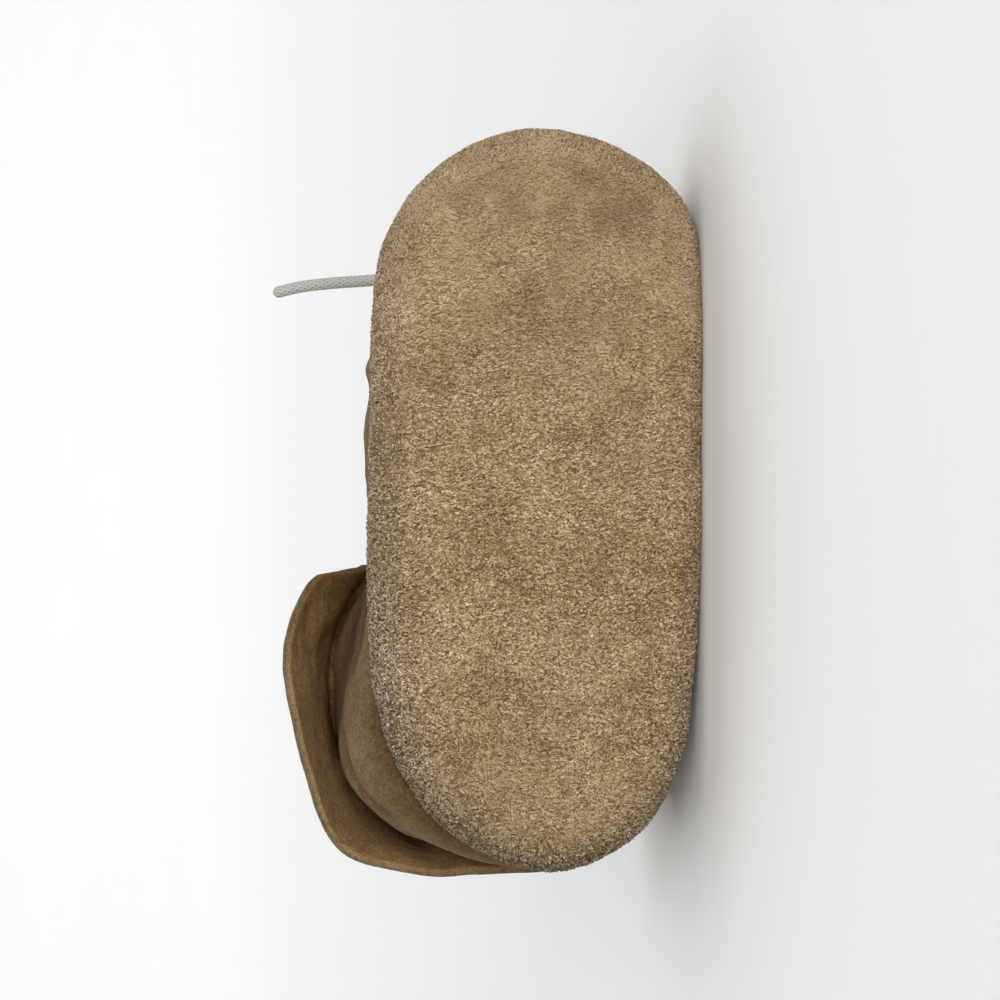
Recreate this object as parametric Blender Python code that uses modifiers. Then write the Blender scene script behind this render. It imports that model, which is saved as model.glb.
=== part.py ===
"""Baby moccasin: a soft right-foot bootie with a fold-over ankle cuff, lying on its inner side.

Every piece is drawn upright in shoe coordinates (toe +X, inner side +Y, opening +Z, the sole's
bottom at 0). The parent empty then lays the shoe over, so that in the world the toe is at +X, the
sole faces -Y, the opening faces +Y and the outer side is up.
"""

import math
from collections import namedtuple

import bmesh
import bpy
import numpy as np
from mathutils import Euler, Vector

# Driving dimensions, in metres.
MM = 0.001
SOLE_LENGTH = 115.0 * MM
SOLE_WIDTH = 53.4 * MM
SOLE_WALL = 2.2 * MM
UPPER_WALL = 1.5 * MM
APRON_WALL = 1.5 * MM
TONGUE_WALL = 1.3 * MM
CUFF_WALL = 1.4 * MM
INSOLE_WALL = 1.6 * MM
LACE_DIAMETER = 1.9 * MM
GAP = 0.35 * MM

# The inner side lies on the floor, and the leather there is pressed flat against it.
FLOOR_REACH = 26.3 * MM

# The sole turns up round its edge and ends in a rim that the upper stands on.
SOLE_EDGE_RADIUS = 5.0 * MM
SOLE_RIM_HEIGHT = 7.0 * MM
TOE_SPRING = 2.5 * MM
TOE_SPRING_START = 26.0 * MM

# The flat of the sole is drawn in towards this stretch of its middle line.
MIDDLE_BACK = -32.0 * MM
MIDDLE_FRONT = 12.0 * MM
FLAT_RINGS = (0.3, 0.68, 1.0)
EDGE_ANGLES = (30.0, 60.0, 90.0)

# The upper's lowest band stands upright, just inside the sole's rim.
UPPER_INSET = 0.3 * MM
UPPER_BAND = 0.6 * MM
UPPER_BAND_SHARE = 0.02

APRON_CROWN = 2.2 * MM
APRON_REACH = 0.97

# The cuff clears the upper, hooks over its collar and has rounded front corners.
CUFF_CLEARANCE = 0.6 * MM
CUFF_HOOK_DROPS = (5.0 * MM, 2.5 * MM)
CUFF_FOLD_ANGLES = (180.0, 145.0, 110.0, 75.0, 40.0, 5.0)
CUFF_CORNER_START = 0.78
CUFF_CORNER_RISE = 0.34
CUFF_FLAP_ROWS = 8

COLUMNS_PER_STATION = 4
UPPER_RINGS = 11
APRON_ROWS = 12
APRON_COLUMNS = 8
CUFF_COLUMNS = 40
TONGUE_ROWS = 12
TONGUE_COLUMNS = 8

# One station for each twentieth of the sole's edge, from the heel round the outer side, the toe
# and the inner side. edge: the sole's outline, as shares of half its length and half its width.
# top: where the upper ends above that station, in millimetres, at the collar, the throat or the
# apron seam. roundness: 1 is a straight wall, 2 an elliptic one. bulge: how far the wall swells.
Station = namedtuple("Station", "edge_x edge_y top_x top_y top_z roundness bulge")
STATIONS = [
    Station(-1.000, 0.11, -57.0, -4.0, 50.0, 1.5, 1.0),
    Station(-0.925, -0.41, -54.0, -16.0, 50.0, 1.5, 4.5),
    Station(-0.743, -0.77, -43.5, -24.5, 50.0, 1.4, 6.8),
    Station(-0.510, -0.94, -30.0, -27.0, 50.0, 1.3, 3.5),
    Station(-0.261, -0.98, -17.0, -23.5, 50.0, 1.2, 1.0),
    Station(-0.012, -0.99, -6.0, -13.5, 49.0, 1.25, 0.5),
    Station(0.237, -0.98, 4.5, -14.0, 40.5, 1.8, 0.3),
    Station(0.485, -0.96, 15.0, -15.8, 33.2, 2.0, 0.0),
    Station(0.729, -0.86, 27.0, -15.2, 29.8, 2.0, 0.0),
    Station(0.920, -0.52, 37.5, -10.2, 26.3, 2.0, 0.0),
    Station(1.000, -0.03, 42.0, 0.0, 24.5, 2.0, 0.0),
    Station(0.948, 0.49, 37.5, 10.2, 26.3, 2.0, 0.0),
    Station(0.790, 0.90, 27.0, 15.0, 29.8, 2.0, 0.5),
    Station(0.551, 1.00, 15.0, 15.0, 33.2, 2.0, 1.0),
    Station(0.303, 0.995, 4.5, 8.5, 40.5, 1.8, 1.0),
    Station(0.054, 0.985, -6.0, 5.5, 49.0, 1.2, 1.0),
    Station(-0.195, 0.97, -17.0, 13.5, 50.0, 1.1, 0.0),
    Station(-0.443, 0.94, -30.0, 17.0, 50.0, 1.15, 0.0),
    Station(-0.689, 0.865, -43.5, 14.5, 50.0, 1.2, 1.0),
    Station(-0.897, 0.60, -54.0, 7.0, 50.0, 1.3, 1.5),
]

# Places round the shoe, counted in stations. The inner side mirrors the outer about the toe.
TOE = 10
APRON_CORNER = 6.6
CUFF_FRONT = 4.4
LOWER_EYELET = 6.15
UPPER_EYELET = 5.35

# The cuff's free edge, from the inner front corner round the heel to the outer front corner, in
# millimetres. What reaches past the floor is pressed flat.
RimPoint = namedtuple("RimPoint", "x y z")
CUFF_RIM = [
    RimPoint(-13.0, 27.5, 33.0),
    RimPoint(-24.5, 29.0, 28.0),
    RimPoint(-37.0, 29.0, 26.5),
    RimPoint(-51.0, 24.5, 26.0),
    RimPoint(-59.5, 12.0, 25.0),
    RimPoint(-61.6, -1.0, 25.0),
    RimPoint(-61.8, -15.0, 25.0),
    RimPoint(-57.0, -28.5, 26.0),
    RimPoint(-43.0, -34.8, 26.5),
    RimPoint(-27.0, -37.8, 28.0),
    RimPoint(-14.0, -34.0, 33.0),
]

# The tongue's sections from under the apron to its tip: its middle line, half its width and how
# far its sides fold down, in millimetres.
TongueRow = namedtuple("TongueRow", "x y z half_width fold")
TONGUE = [
    TongueRow(19.0, 0.0, 31.6, 11.0, 1.0),
    TongueRow(13.0, -0.4, 33.6, 12.0, 1.8),
    TongueRow(7.0, -1.6, 36.2, 12.5, 2.6),
    TongueRow(1.0, -2.9, 40.8, 12.0, 3.2),
    TongueRow(-4.5, -4.0, 46.2, 10.5, 3.6),
    TongueRow(-9.0, -4.4, 52.0, 9.0, 2.8),
    TongueRow(-11.0, -4.4, 57.5, 6.5, 1.6),
]

# The free lace end runs from the upper outer eyelet down over the apron and out past the toe's
# outer edge. Its route is in millimetres.
LACE_END_ROUTE = [
    (-0.4, -17.0, 46.4),
    (3.6, -19.6, 43.0),
    (9.0, -20.4, 38.8),
    (15.0, -18.8, 35.6),
    (21.0, -15.6, 33.2),
    (27.0, -12.4, 32.0),
    (31.6, -11.0, 31.3),
    (34.8, -12.2, 30.8),
    (36.5, -15.4, 30.6),
    (36.6, -20.0, 30.6),
    (35.8, -26.0, 30.8),
    (35.0, -32.0, 31.0),
    (34.3, -38.4, 31.0),
]


def between_rows(rows, position, closed=False):
    """The rows' smooth value at a position counted in rows (a Catmull-Rom curve)."""
    table = np.array(rows, dtype=float)
    last = len(table) - 1
    first = math.floor(position) if closed else min(max(math.floor(position), 0), last - 1)
    picks = [first + step for step in (-1, 0, 1, 2)]
    picks = [pick % len(table) if closed else min(max(pick, 0), last) for pick in picks]
    before, start, end, after = table[picks]
    share = position - first
    curve = 2.0 * before - 5.0 * start + 4.0 * end - after
    twist = 3.0 * (start - end) + after - before
    return start + 0.5 * share * ((end - before) + share * (curve + share * twist))


def edge_point(station):
    """The sole's outline, at its widest, above or below a station."""
    share = between_rows([(row.edge_x, row.edge_y) for row in STATIONS], station, closed=True)
    return np.array([share[0] * SOLE_LENGTH / 2.0, share[1] * SOLE_WIDTH / 2.0])


def edge_normal(station):
    """The outline's own outward direction."""
    along = edge_point(station + 0.05) - edge_point(station - 0.05)
    return np.array([along[1], -along[0]]) / np.linalg.norm(along)


def toe_spring(x):
    """How far the sole has lifted off its flat middle at x."""
    share = max(x - TOE_SPRING_START, 0.0) / (SOLE_LENGTH / 2.0 - TOE_SPRING_START)
    return TOE_SPRING * share * share


def pressed(point):
    """A point moved onto the floor's plane where it would reach through it."""
    return np.array([point[0], min(point[1], FLOOR_REACH), point[2]])


def upper_point(station, height_share):
    """The upper's outer surface: 0 on the sole's rim, 1 at the collar, throat or apron seam."""
    row = Station(*between_rows(STATIONS, station, closed=True))
    outline = edge_point(station) - edge_normal(station) * UPPER_INSET
    base = np.array([*outline, SOLE_RIM_HEIGHT + GAP + toe_spring(outline[0])])
    if height_share <= 0.0:
        return pressed(base)
    base[2] += UPPER_BAND
    top = np.array([row.top_x, row.top_y, row.top_z]) * MM
    turn = height_share * math.pi / 2.0
    across = 1.0 - math.cos(turn) ** (2.0 / row.roundness)
    rise = math.sin(turn) ** (2.0 / row.roundness)
    point = base + (top - base) * np.array([across, across, rise])
    swell = row.bulge * MM * math.sin(math.pi * rise**0.6)
    point[:2] += edge_normal(station) * swell
    return pressed(point)


def upper_at(station, height):
    """The upper's outer surface above a station, at a height over the sole's bottom."""
    low = 0.01
    high = 1.0
    for _ in range(24):
        middle = (low + high) / 2.0
        if upper_point(station, middle)[2] < height:
            low = middle
        else:
            high = middle
    return upper_point(station, high)


def upper_normal(station, height_share):
    """The upper's outward direction at a point of its surface."""
    step = 0.02
    around = upper_point(station + step, height_share) - upper_point(station - step, height_share)
    up = upper_point(station, height_share + step) - upper_point(station, height_share - step)
    normal = np.cross(around, up)
    return normal / np.linalg.norm(normal)


def material(name, colour, roughness):
    """A plain finish for one piece."""
    made = bpy.data.materials.new(name)
    made.use_nodes = True
    shader = made.node_tree.nodes["Principled BSDF"]
    shader.inputs["Base Color"].default_value = (*colour, 1.0)
    shader.inputs["Roughness"].default_value = roughness
    shader.inputs["Metallic"].default_value = 0.0
    return made


def loft(grid, flip=False, closed=False, filled=False):
    """A mesh through rows of points. closed joins each row's ends, filled caps the first row."""
    mesh = bpy.data.meshes.new("loft")
    form = bmesh.new()
    rows = [[form.verts.new(Vector(point)) for point in row] for row in grid]
    count = len(rows[0])
    for lower, upper in zip(rows, rows[1:]):
        for column in range(count if closed else count - 1):
            after = (column + 1) % count
            corners = [lower[column], lower[after], upper[after], upper[column]]
            form.faces.new(corners[::-1] if flip else corners)
    if filled:
        form.faces.new(rows[0] if flip else rows[0][::-1])
    form.to_mesh(mesh)
    form.free()
    return mesh


def shell(name, mesh, wall, finish, parts):
    """A piece of leather: the open outer surface with its real thickness behind it."""
    mesh.name = name
    mesh.materials.append(finish)
    mesh.shade_smooth()
    piece = bpy.data.objects.new(name, mesh)
    parts.objects.link(piece)
    thicken = piece.modifiers.new("Leather thickness", "SOLIDIFY")
    thicken.thickness = wall
    thicken.offset = -1.0
    thicken.use_even_offset = True
    return piece


def ring_stations():
    """Positions all round the sole's edge."""
    count = COLUMNS_PER_STATION * len(STATIONS)
    return [step / COLUMNS_PER_STATION for step in range(count)]


def sole_ring(share, inset, height):
    """A ring of the sole: share draws it in to the middle line, inset narrows it evenly."""
    ring = []
    for station in ring_stations():
        x, y = edge_point(station) - edge_normal(station) * inset
        middle = min(max(x, MIDDLE_BACK), MIDDLE_FRONT)
        x = middle + (x - middle) * share
        y = y * share
        ring.append(pressed((x, y, height + toe_spring(x))))
    return ring


def make_sole(parts, finish):
    """A shallow tray: a flat tread whose edge turns up all round."""
    radius = SOLE_EDGE_RADIUS
    rings = [sole_ring(share, radius, 0.0) for share in FLAT_RINGS]
    for angle in EDGE_ANGLES:
        turn = math.radians(angle)
        inset = radius * (1.0 - math.sin(turn))
        rings.append(sole_ring(1.0, inset, radius * (1.0 - math.cos(turn))))
    rings.append(sole_ring(1.0, 0.0, SOLE_RIM_HEIGHT))
    mesh = loft(rings, closed=True, filled=True)
    return shell("sole", mesh, SOLE_WALL, finish, parts)


def make_insole(parts, finish):
    """A thin pad that lies in the tray."""
    inset = SOLE_EDGE_RADIUS + 0.5 * MM
    top = SOLE_WALL + 1.3 * GAP + INSOLE_WALL
    rings = [sole_ring(share, inset, top)[::2] for share in FLAT_RINGS]
    mesh = loft(rings, flip=True, closed=True, filled=True)
    return shell("insole", mesh, INSOLE_WALL, finish, parts)


def make_upper(parts, finish):
    """The wall all round the foot, open underneath, at the collar and throat and at the apron."""
    heights = [0.0, UPPER_BAND_SHARE] + [step / UPPER_RINGS for step in range(1, UPPER_RINGS + 1)]
    rings = [[upper_point(station, height) for station in ring_stations()] for height in heights]
    mesh = loft(rings, closed=True)
    return shell("upper", mesh, UPPER_WALL, finish, parts)


def apron_row(reach):
    """A row across the apron, between the two sides of its seam."""
    station = APRON_CORNER + (TOE - APRON_CORNER) * reach
    outer = upper_point(station, 1.0)
    inner = upper_point(2 * TOE - station, 1.0)
    width = np.linalg.norm(inner - outer)
    margin = 1.6 * GAP / width
    crown = APRON_CROWN * (1.0 - 0.6 * reach)
    row = []
    for column in range(APRON_COLUMNS + 1):
        share = margin + (1.0 - 2.0 * margin) * column / APRON_COLUMNS
        point = outer + (inner - outer) * share
        point[0] -= GAP
        point[2] += crown * (1.0 - (2.0 * share - 1.0) ** 2)
        row.append(point)
    return row


def make_apron(parts, finish):
    """The U-shaped plug over the toes, set into the upper's gathered edge."""
    rows = [apron_row(APRON_REACH * step / APRON_ROWS) for step in range(APRON_ROWS + 1)]
    return shell("apron", loft(rows, flip=True), APRON_WALL, finish, parts)


def tongue_row(position):
    """A section of the tongue, its sides folded down round the instep."""
    row = TongueRow(*between_rows(TONGUE, position))
    ahead = between_rows(TONGUE, position + 0.05)
    behind = between_rows(TONGUE, position - 0.05)
    along = np.array([ahead[0] - behind[0], 0.0, ahead[2] - behind[2]])
    outward = np.array([along[2], 0.0, -along[0]]) / np.linalg.norm(along)
    points = []
    for column in range(TONGUE_COLUMNS + 1):
        side = 2.0 * column / TONGUE_COLUMNS - 1.0
        point = np.array([row.x, row.y + side * row.half_width, row.z])
        points.append((point - outward * row.fold * side * side) * MM)
    return points


def make_tongue(parts, finish):
    """The tongue, from under the apron's back edge up past the collar."""
    end = len(TONGUE) - 1
    rows = [tongue_row(end * step / TONGUE_ROWS) for step in range(TONGUE_ROWS + 1)]
    return shell("tongue", loft(rows), TONGUE_WALL, finish, parts)


def cuff_column(turn):
    """The cuff's outer surface in one plane: up inside the collar, over it, and down outside."""
    station = turn * CUFF_FRONT
    collar = upper_point(station % len(STATIONS), 1.0)
    ahead = upper_point((station + 0.1) % len(STATIONS), 1.0)
    behind = upper_point((station - 0.1) % len(STATIONS), 1.0)
    along = ahead - behind
    out = np.array([along[1], -along[0], 0.0]) / np.hypot(along[0], along[1])
    up = np.array([0.0, 0.0, 1.0])

    reach = UPPER_WALL / 2.0 + CUFF_CLEARANCE + CUFF_WALL
    middle = collar - out * UPPER_WALL / 2.0
    points = [middle - out * reach - up * drop for drop in CUFF_HOOK_DROPS]
    for angle in CUFF_FOLD_ANGLES:
        bend = math.radians(angle)
        points.append(middle + (out * math.cos(bend) + up * math.sin(bend)) * reach)

    position = (turn + 1.0) / 2.0 * (len(CUFF_RIM) - 1)
    rim = between_rows(CUFF_RIM, position) * MM
    start = points[-1]
    spread = rim - start
    spread[2] = 0.0
    away = spread / np.linalg.norm(spread)
    bends = [start, start + out * 0.8 * MM - up * 9.0 * MM, rim - away * 3.5 * MM + up * 8.0 * MM, rim]
    corner = min(max(abs(turn) - CUFF_CORNER_START, 0.0) / (1.0 - CUFF_CORNER_START), 1.0)
    length = 1.0 - CUFF_CORNER_RISE * (1.0 - math.sqrt(1.0 - corner**2))
    for step in range(1, CUFF_FLAP_ROWS + 1):
        share = length * step / CUFF_FLAP_ROWS
        rest = 1.0 - share
        weights = (rest**3, 3.0 * rest**2 * share, 3.0 * rest * share**2, share**3)
        point = sum(weight * bend for weight, bend in zip(weights, bends))
        room = np.dot(point - upper_at(station % len(STATIONS), point[2]), out)
        point += out * max(CUFF_WALL + CUFF_CLEARANCE - room, 0.0)
        points.append(point)
    return [pressed(point) for point in points]


def make_cuff(parts, finish):
    """The fold-over cuff: it hooks over the collar and flares down to a free edge."""
    columns = [cuff_column(2.0 * step / CUFF_COLUMNS - 1.0) for step in range(CUFF_COLUMNS + 1)]
    rows = [list(row) for row in zip(*columns)]
    return shell("cuff", loft(rows, flip=True), CUFF_WALL, finish, parts)


def tube(name, route, count, finish, parts):
    """A cord along a smooth curve through its route, with closed ends."""
    data = bpy.data.curves.new(name, "CURVE")
    data.dimensions = "3D"
    data.bevel_depth = LACE_DIAMETER / 2.0
    data.bevel_resolution = 2
    data.use_fill_caps = True
    spline = data.splines.new("POLY")
    spline.points.add(count - 1)
    for index, point in enumerate(spline.points):
        place = between_rows(route, (len(route) - 1) * index / (count - 1))
        point.co = (*place, 1.0)
    data.materials.append(finish)
    piece = bpy.data.objects.new(name, data)
    parts.objects.link(piece)
    return piece


def as_mesh(piece, parts):
    """The same piece with its curve turned into a closed mesh."""
    depsgraph = bpy.context.evaluated_depsgraph_get()
    mesh = bpy.data.meshes.new_from_object(piece.evaluated_get(depsgraph))
    form = bmesh.new()
    form.from_mesh(mesh)
    bmesh.ops.remove_doubles(form, verts=form.verts, dist=0.01 * MM)
    bmesh.ops.recalc_face_normals(form, faces=form.faces)
    form.to_mesh(mesh)
    form.free()
    name = piece.name
    bpy.data.objects.remove(piece)
    made = bpy.data.objects.new(name, mesh)
    parts.objects.link(made)
    return made


def above_upper(station, height_share, lift):
    """A point over the upper's surface."""
    return upper_point(station, height_share) + upper_normal(station, height_share) * lift


def make_lace_bar(parts, finish):
    """The lace's lowest bar, across the throat between the two lower eyelets."""
    lift = LACE_DIAMETER / 2.0 + 2.2 * GAP
    outer = LOWER_EYELET
    inner = 2 * TOE - outer
    start = above_upper(outer, 0.84, lift)
    end = above_upper(inner, 0.84, lift)
    first = above_upper(outer, 0.97, lift)
    last = above_upper(inner, 0.97, lift)
    middle = (first + last) / 2.0 + np.array([0.8, 0.0, 2.0]) * MM
    return tube("lace_bar", [start, first, middle, last, end], 17, finish, parts)


def make_lace_cross(parts, cutters, finish):
    """Two stretches of lace that cross in the throat over the tongue, as one solid."""
    low = LOWER_EYELET - 0.05
    high = UPPER_EYELET
    made = []
    pairs = [("lace_cross", low, 2 * TOE - high, 1.0), ("lace_cross_over", 2 * TOE - low, high, -1.0)]
    for name, start_station, end_station, side in pairs:
        inward = np.array([0.0, side * 1.7 * MM, 0.0])
        start = upper_point(start_station, 1.0) + inward
        end = upper_point(end_station, 1.0) - inward
        over = np.array([0.6, 0.0, 0.8]) * (0.85 * MM if side < 0.0 else -0.85 * MM)
        middle = (start + end) / 2.0 + over + np.array([0.9, 0.0, 1.2]) * MM
        route = [start, start * 0.7 + end * 0.3 + over * 0.5, middle, start * 0.3 + end * 0.7, end]
        made.append(as_mesh(tube(name, route, 13, finish, parts), parts))
    crossing, over = made
    parts.objects.unlink(over)
    cutters.objects.link(over)
    over.hide_render = True
    over.display_type = "WIRE"
    join = crossing.modifiers.new("Crossing", "BOOLEAN")
    join.operation = "UNION"
    join.object = over
    return crossing


def make_lace_end(parts, finish):
    """The free end of the lace, as a loose cord."""
    route = [np.array(point) * MM for point in LACE_END_ROUTE]
    return tube("lace_end", route, 30, finish, parts)


def lay_over(pieces, helpers, parts):
    """Turn the shoe onto its inner side, its box's lowest middle point at the origin."""
    frame = bpy.data.objects.new("shoe_axes", None)
    parts.objects.link(frame)
    frame.rotation_euler = Euler((-math.pi / 2.0, 0.0, 0.0))
    for piece in pieces + helpers:
        piece.parent = frame
    bpy.context.view_layer.update()
    corners = []
    for piece in pieces:
        if piece.name != "lace_end":
            corners += [piece.matrix_world @ Vector(corner) for corner in piece.bound_box]
    low = [min(corner[axis] for corner in corners) for axis in range(3)]
    high = [max(corner[axis] for corner in corners) for axis in range(3)]
    frame.location = (-(low[0] + high[0]) / 2.0, -(low[1] + high[1]) / 2.0, FLOOR_REACH)


def main():
    for old in list(bpy.data.objects):
        bpy.data.objects.remove(old)
    parts = bpy.data.collections.new("baby_moccasin")
    cutters = bpy.data.collections.new("cutters")
    bpy.context.scene.collection.children.link(parts)
    bpy.context.scene.collection.children.link(cutters)

    napped = material("sole_suede", (0.31, 0.215, 0.115), 0.95)
    suede = material("upper_suede", (0.24, 0.165, 0.09), 0.9)
    lining = material("insole_leather", (0.36, 0.27, 0.17), 0.8)
    cotton = material("lace_cotton", (0.62, 0.6, 0.55), 0.85)

    pieces = [
        make_sole(parts, napped),
        make_insole(parts, lining),
        make_upper(parts, suede),
        make_apron(parts, suede),
        make_tongue(parts, suede),
        make_cuff(parts, suede),
        make_lace_bar(parts, cotton),
        make_lace_cross(parts, cutters, cotton),
        make_lace_end(parts, cotton),
    ]
    lay_over(pieces, list(cutters.objects), parts)


main()
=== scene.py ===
"""Baby moccasin: the finish of a soft suede bootie, built round its packed frame.

Every surface is drawn upright in shoe coordinates (toe +X, inner side +Y, opening +Z, the sole's
bottom at 0, in metres) and is then laid over onto its inner side, where the frame has it.
"""

import math
from collections import namedtuple

import bmesh
import bpy
import numpy as np
from mathutils import Matrix, Vector, noise


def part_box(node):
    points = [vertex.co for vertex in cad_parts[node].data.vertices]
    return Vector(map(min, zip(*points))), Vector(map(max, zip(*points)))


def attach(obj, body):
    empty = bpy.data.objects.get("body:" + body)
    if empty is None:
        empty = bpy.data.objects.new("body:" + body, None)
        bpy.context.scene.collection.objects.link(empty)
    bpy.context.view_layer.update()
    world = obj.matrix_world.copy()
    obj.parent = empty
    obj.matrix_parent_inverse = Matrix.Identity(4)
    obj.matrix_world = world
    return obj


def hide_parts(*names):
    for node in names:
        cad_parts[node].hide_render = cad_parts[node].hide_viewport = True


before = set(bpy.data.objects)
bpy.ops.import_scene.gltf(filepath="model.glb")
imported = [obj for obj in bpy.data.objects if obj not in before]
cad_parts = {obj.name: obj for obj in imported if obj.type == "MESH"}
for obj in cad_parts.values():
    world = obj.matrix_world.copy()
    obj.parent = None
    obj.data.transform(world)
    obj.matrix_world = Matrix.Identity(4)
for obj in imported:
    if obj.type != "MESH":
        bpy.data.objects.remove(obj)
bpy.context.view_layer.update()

bl_info = {
    "name": "Baby Moccasin",
    "version": (1, 0, 0),
    "blender": (4, 5, 0),
    "location": "3D View > Sidebar > Moccasin",
    "description": "Makes a soft suede baby moccasin, its nap, seams and lace round the packed frame",
    "category": "Object",
}

# Driving dimensions, in metres. GAP is the play between two pieces. FLOOR_REACH is how far the
# floor lies from the shoe's middle, and the sole's middle line runs from MIDDLE_BACK to
# MIDDLE_FRONT.
MM = 0.001
SOLE_LENGTH = 115.0 * MM
SOLE_WIDTH = 53.4 * MM
SOLE_WALL = 2.2 * MM
UPPER_WALL = 1.5 * MM
APRON_WALL = 1.5 * MM
TONGUE_WALL = 1.3 * MM
CUFF_WALL = 1.4 * MM
INSOLE_WALL = 1.6 * MM
INSOLE_MARGIN = 0.9 * MM
LACE_DIAMETER = 1.9 * MM
GAP = 0.35 * MM
FLOOR_REACH = 26.3 * MM
FLOOR_CLEARANCE = 0.02 * MM
SOLE_EDGE_RADIUS = 5.0 * MM
INNER_EDGE_TIGHTER = 1.8 * MM
SOLE_RIM_HEIGHT = 7.0 * MM
TOE_SPRING = 2.5 * MM
TOE_SPRING_START = 26.0 * MM
MIDDLE_BACK = -32.0 * MM
MIDDLE_FRONT = 12.0 * MM
UPPER_INSET = 0.3 * MM
GATHER_DEPTH = 1.9 * MM
SEAM_LIP = 0.4 * MM
PUCKER_HEIGHT = 0.1 * MM
HEEL_SEAM_HEIGHT = 0.55 * MM
NAP_DEPTH = 0.3 * MM
UPPER_BAND = 0.6 * MM
APRON_CROWN = 2.2 * MM
APRON_LENGTH = 34.0 * MM
APRON_MARGIN = 2.4 * GAP
CUFF_CLEARANCE = 0.6 * MM

# The cuff's section: how far it hangs inside the collar, the angles of its fold in degrees, and
# the handles of its flap's curve: out and down from the fold, in and up from the rim.
CUFF_HOOK_DROPS = (5.0 * MM, 2.5 * MM)
CUFF_FOLD_ANGLES = (180.0, 145.0, 110.0, 75.0, 40.0, 5.0)
CUFF_FALL = (0.8 * MM, 9.0 * MM)
CUFF_SWING = (3.5 * MM, 8.0 * MM)
CUFF_FLAP_ROWS = 8

# The cuff's front corners are rounded from this share of its width on, by this share of its
# depth. The tongue's tip is rounded over this many rows of its table.
CUFF_CORNER_START = 0.78
CUFF_CORNER_RISE = 0.34
TONGUE_TIP = 1.2

# Each seed looks at the noise this far from the last, and its values are stretched this much.
NOISE_SHIFT = 17.3
NOISE_GAIN = 1.6

# Places round the shoe, counted in stations, and shares of the upper's height: how high the heel
# seam and the eyelets lie, and how far down the gathers run. The inner side mirrors the outer
# about the toe.
TOE = 10
APRON_CORNER = 6.6
APRON_SEAM = (6.7, 13.3)
HEEL_STITCHING = (-2.4, 0.5)
HEEL_SEAM = (0.04, 0.9)
CUFF_FRONT = 4.4
LOWER_EYELET = 6.15
UPPER_EYELET = 5.35
EYELET_SHARE = 0.84
GATHER_LENGTH = 0.46
GATHER_STRAY = 0.12
PUCKERS_TO_STATION = 4.3

# A lace hole takes the place of a block of the grid that reaches this many points each way. Its
# lip: how far it is drawn in to the hole, and how far it stands up, in millimetres.
EYELET_DIAMETER = 2.5 * MM
HOLE_REACH = 5
HOLE_LIP = ((0.3, 0.02), (0.55, 0.08), (0.75, 0.2), (0.88, 0.26), (0.97, 0.16), (1.0, -0.1))

# How fine each surface is drawn: columns round or across it, and rows.
SOLE_COLUMNS = 480
TREAD_ROWS = 34
EDGE_ROWS = 11
RIM_ROWS = 3
INSOLE_GRID = (160, 20)
UPPER_GRID = (560, 66)
APRON_GRID = (60, 120)
TONGUE_GRID = (56, 84)
CUFF_GRID = (230, 80)
ROUND_EDGE_ANGLES = (30.0, 60.0, 90.0)
SIDE_LINE_POINTS = 400
HEEL_LINE_POINTS = 120
HEEL_SEAM_POINTS = 60
APRON_SEAM_POINTS = 240

# Where the grids begin and end, as shares of their piece. The rounded edges are added past them.
TREAD_SHARES = (0.03, 1.0)
INSOLE_SHARES = (0.04, 1.0)
UPPER_SHARES = (0.012, 0.985)
APRON_REACH = (0.02, 0.965)
TONGUE_REACH = (0.002, 0.999)
TONGUE_SIDES = (-0.97, 0.97)
CUFF_SIDES = (-0.99, 0.99)

# How much of its thickness a wall keeps where it is pressed on the floor, and how many rounds of
# evening make its normals soft enough to give it thickness.
PRESSED_WALL = 0.8
EVENING_ROUNDS = 8

# A lock of nap is a strip this many points long, and curls about once in this length. A stitch is
# this many points long and as many round.
LOCK_POINTS = 3
CURL_LENGTH = 0.5 * MM
STITCH_POINTS = 7

# A cord's smooth route is first drawn in this many steps from one point to the next. Its cut ends
# are rounded down to this share of its thickness. Its braid has this many strands each way round.
ROUTE_STEPS = 60
CORD_TIP = 0.2
BRAID_STRANDS = 8

# Each seam's stitches: span across the seam, height over the leather and depth of the ends in it,
# in millimetres, and the slant in radians with how far it strays.
Stitch = namedtuple("Stitch", "span height depth slant stray seed")
STITCHES = {
    "side_stitches": Stitch(2.0, 0.14, 0.5, 0.45, 0.15, 5),
    "heel_stitches": Stitch(3.4, 0.55, 0.55, 0.6, 0.5, 9),
    "heel_seam_stitches": Stitch(3.0, 0.5, 1.1, 0.5, 0.15, 12),
    "apron_stitches": Stitch(3.3, 0.7, 1.25, 0.25, 0.1, 15),
}
HEEL_SEAM_PITCH = 3.2 * MM

# Where the cuff's mouth opens wide behind the ankle, and where it ends, along the shoe.
WIDE_MOUTH = (-44.0 * MM, -36.0 * MM)

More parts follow.
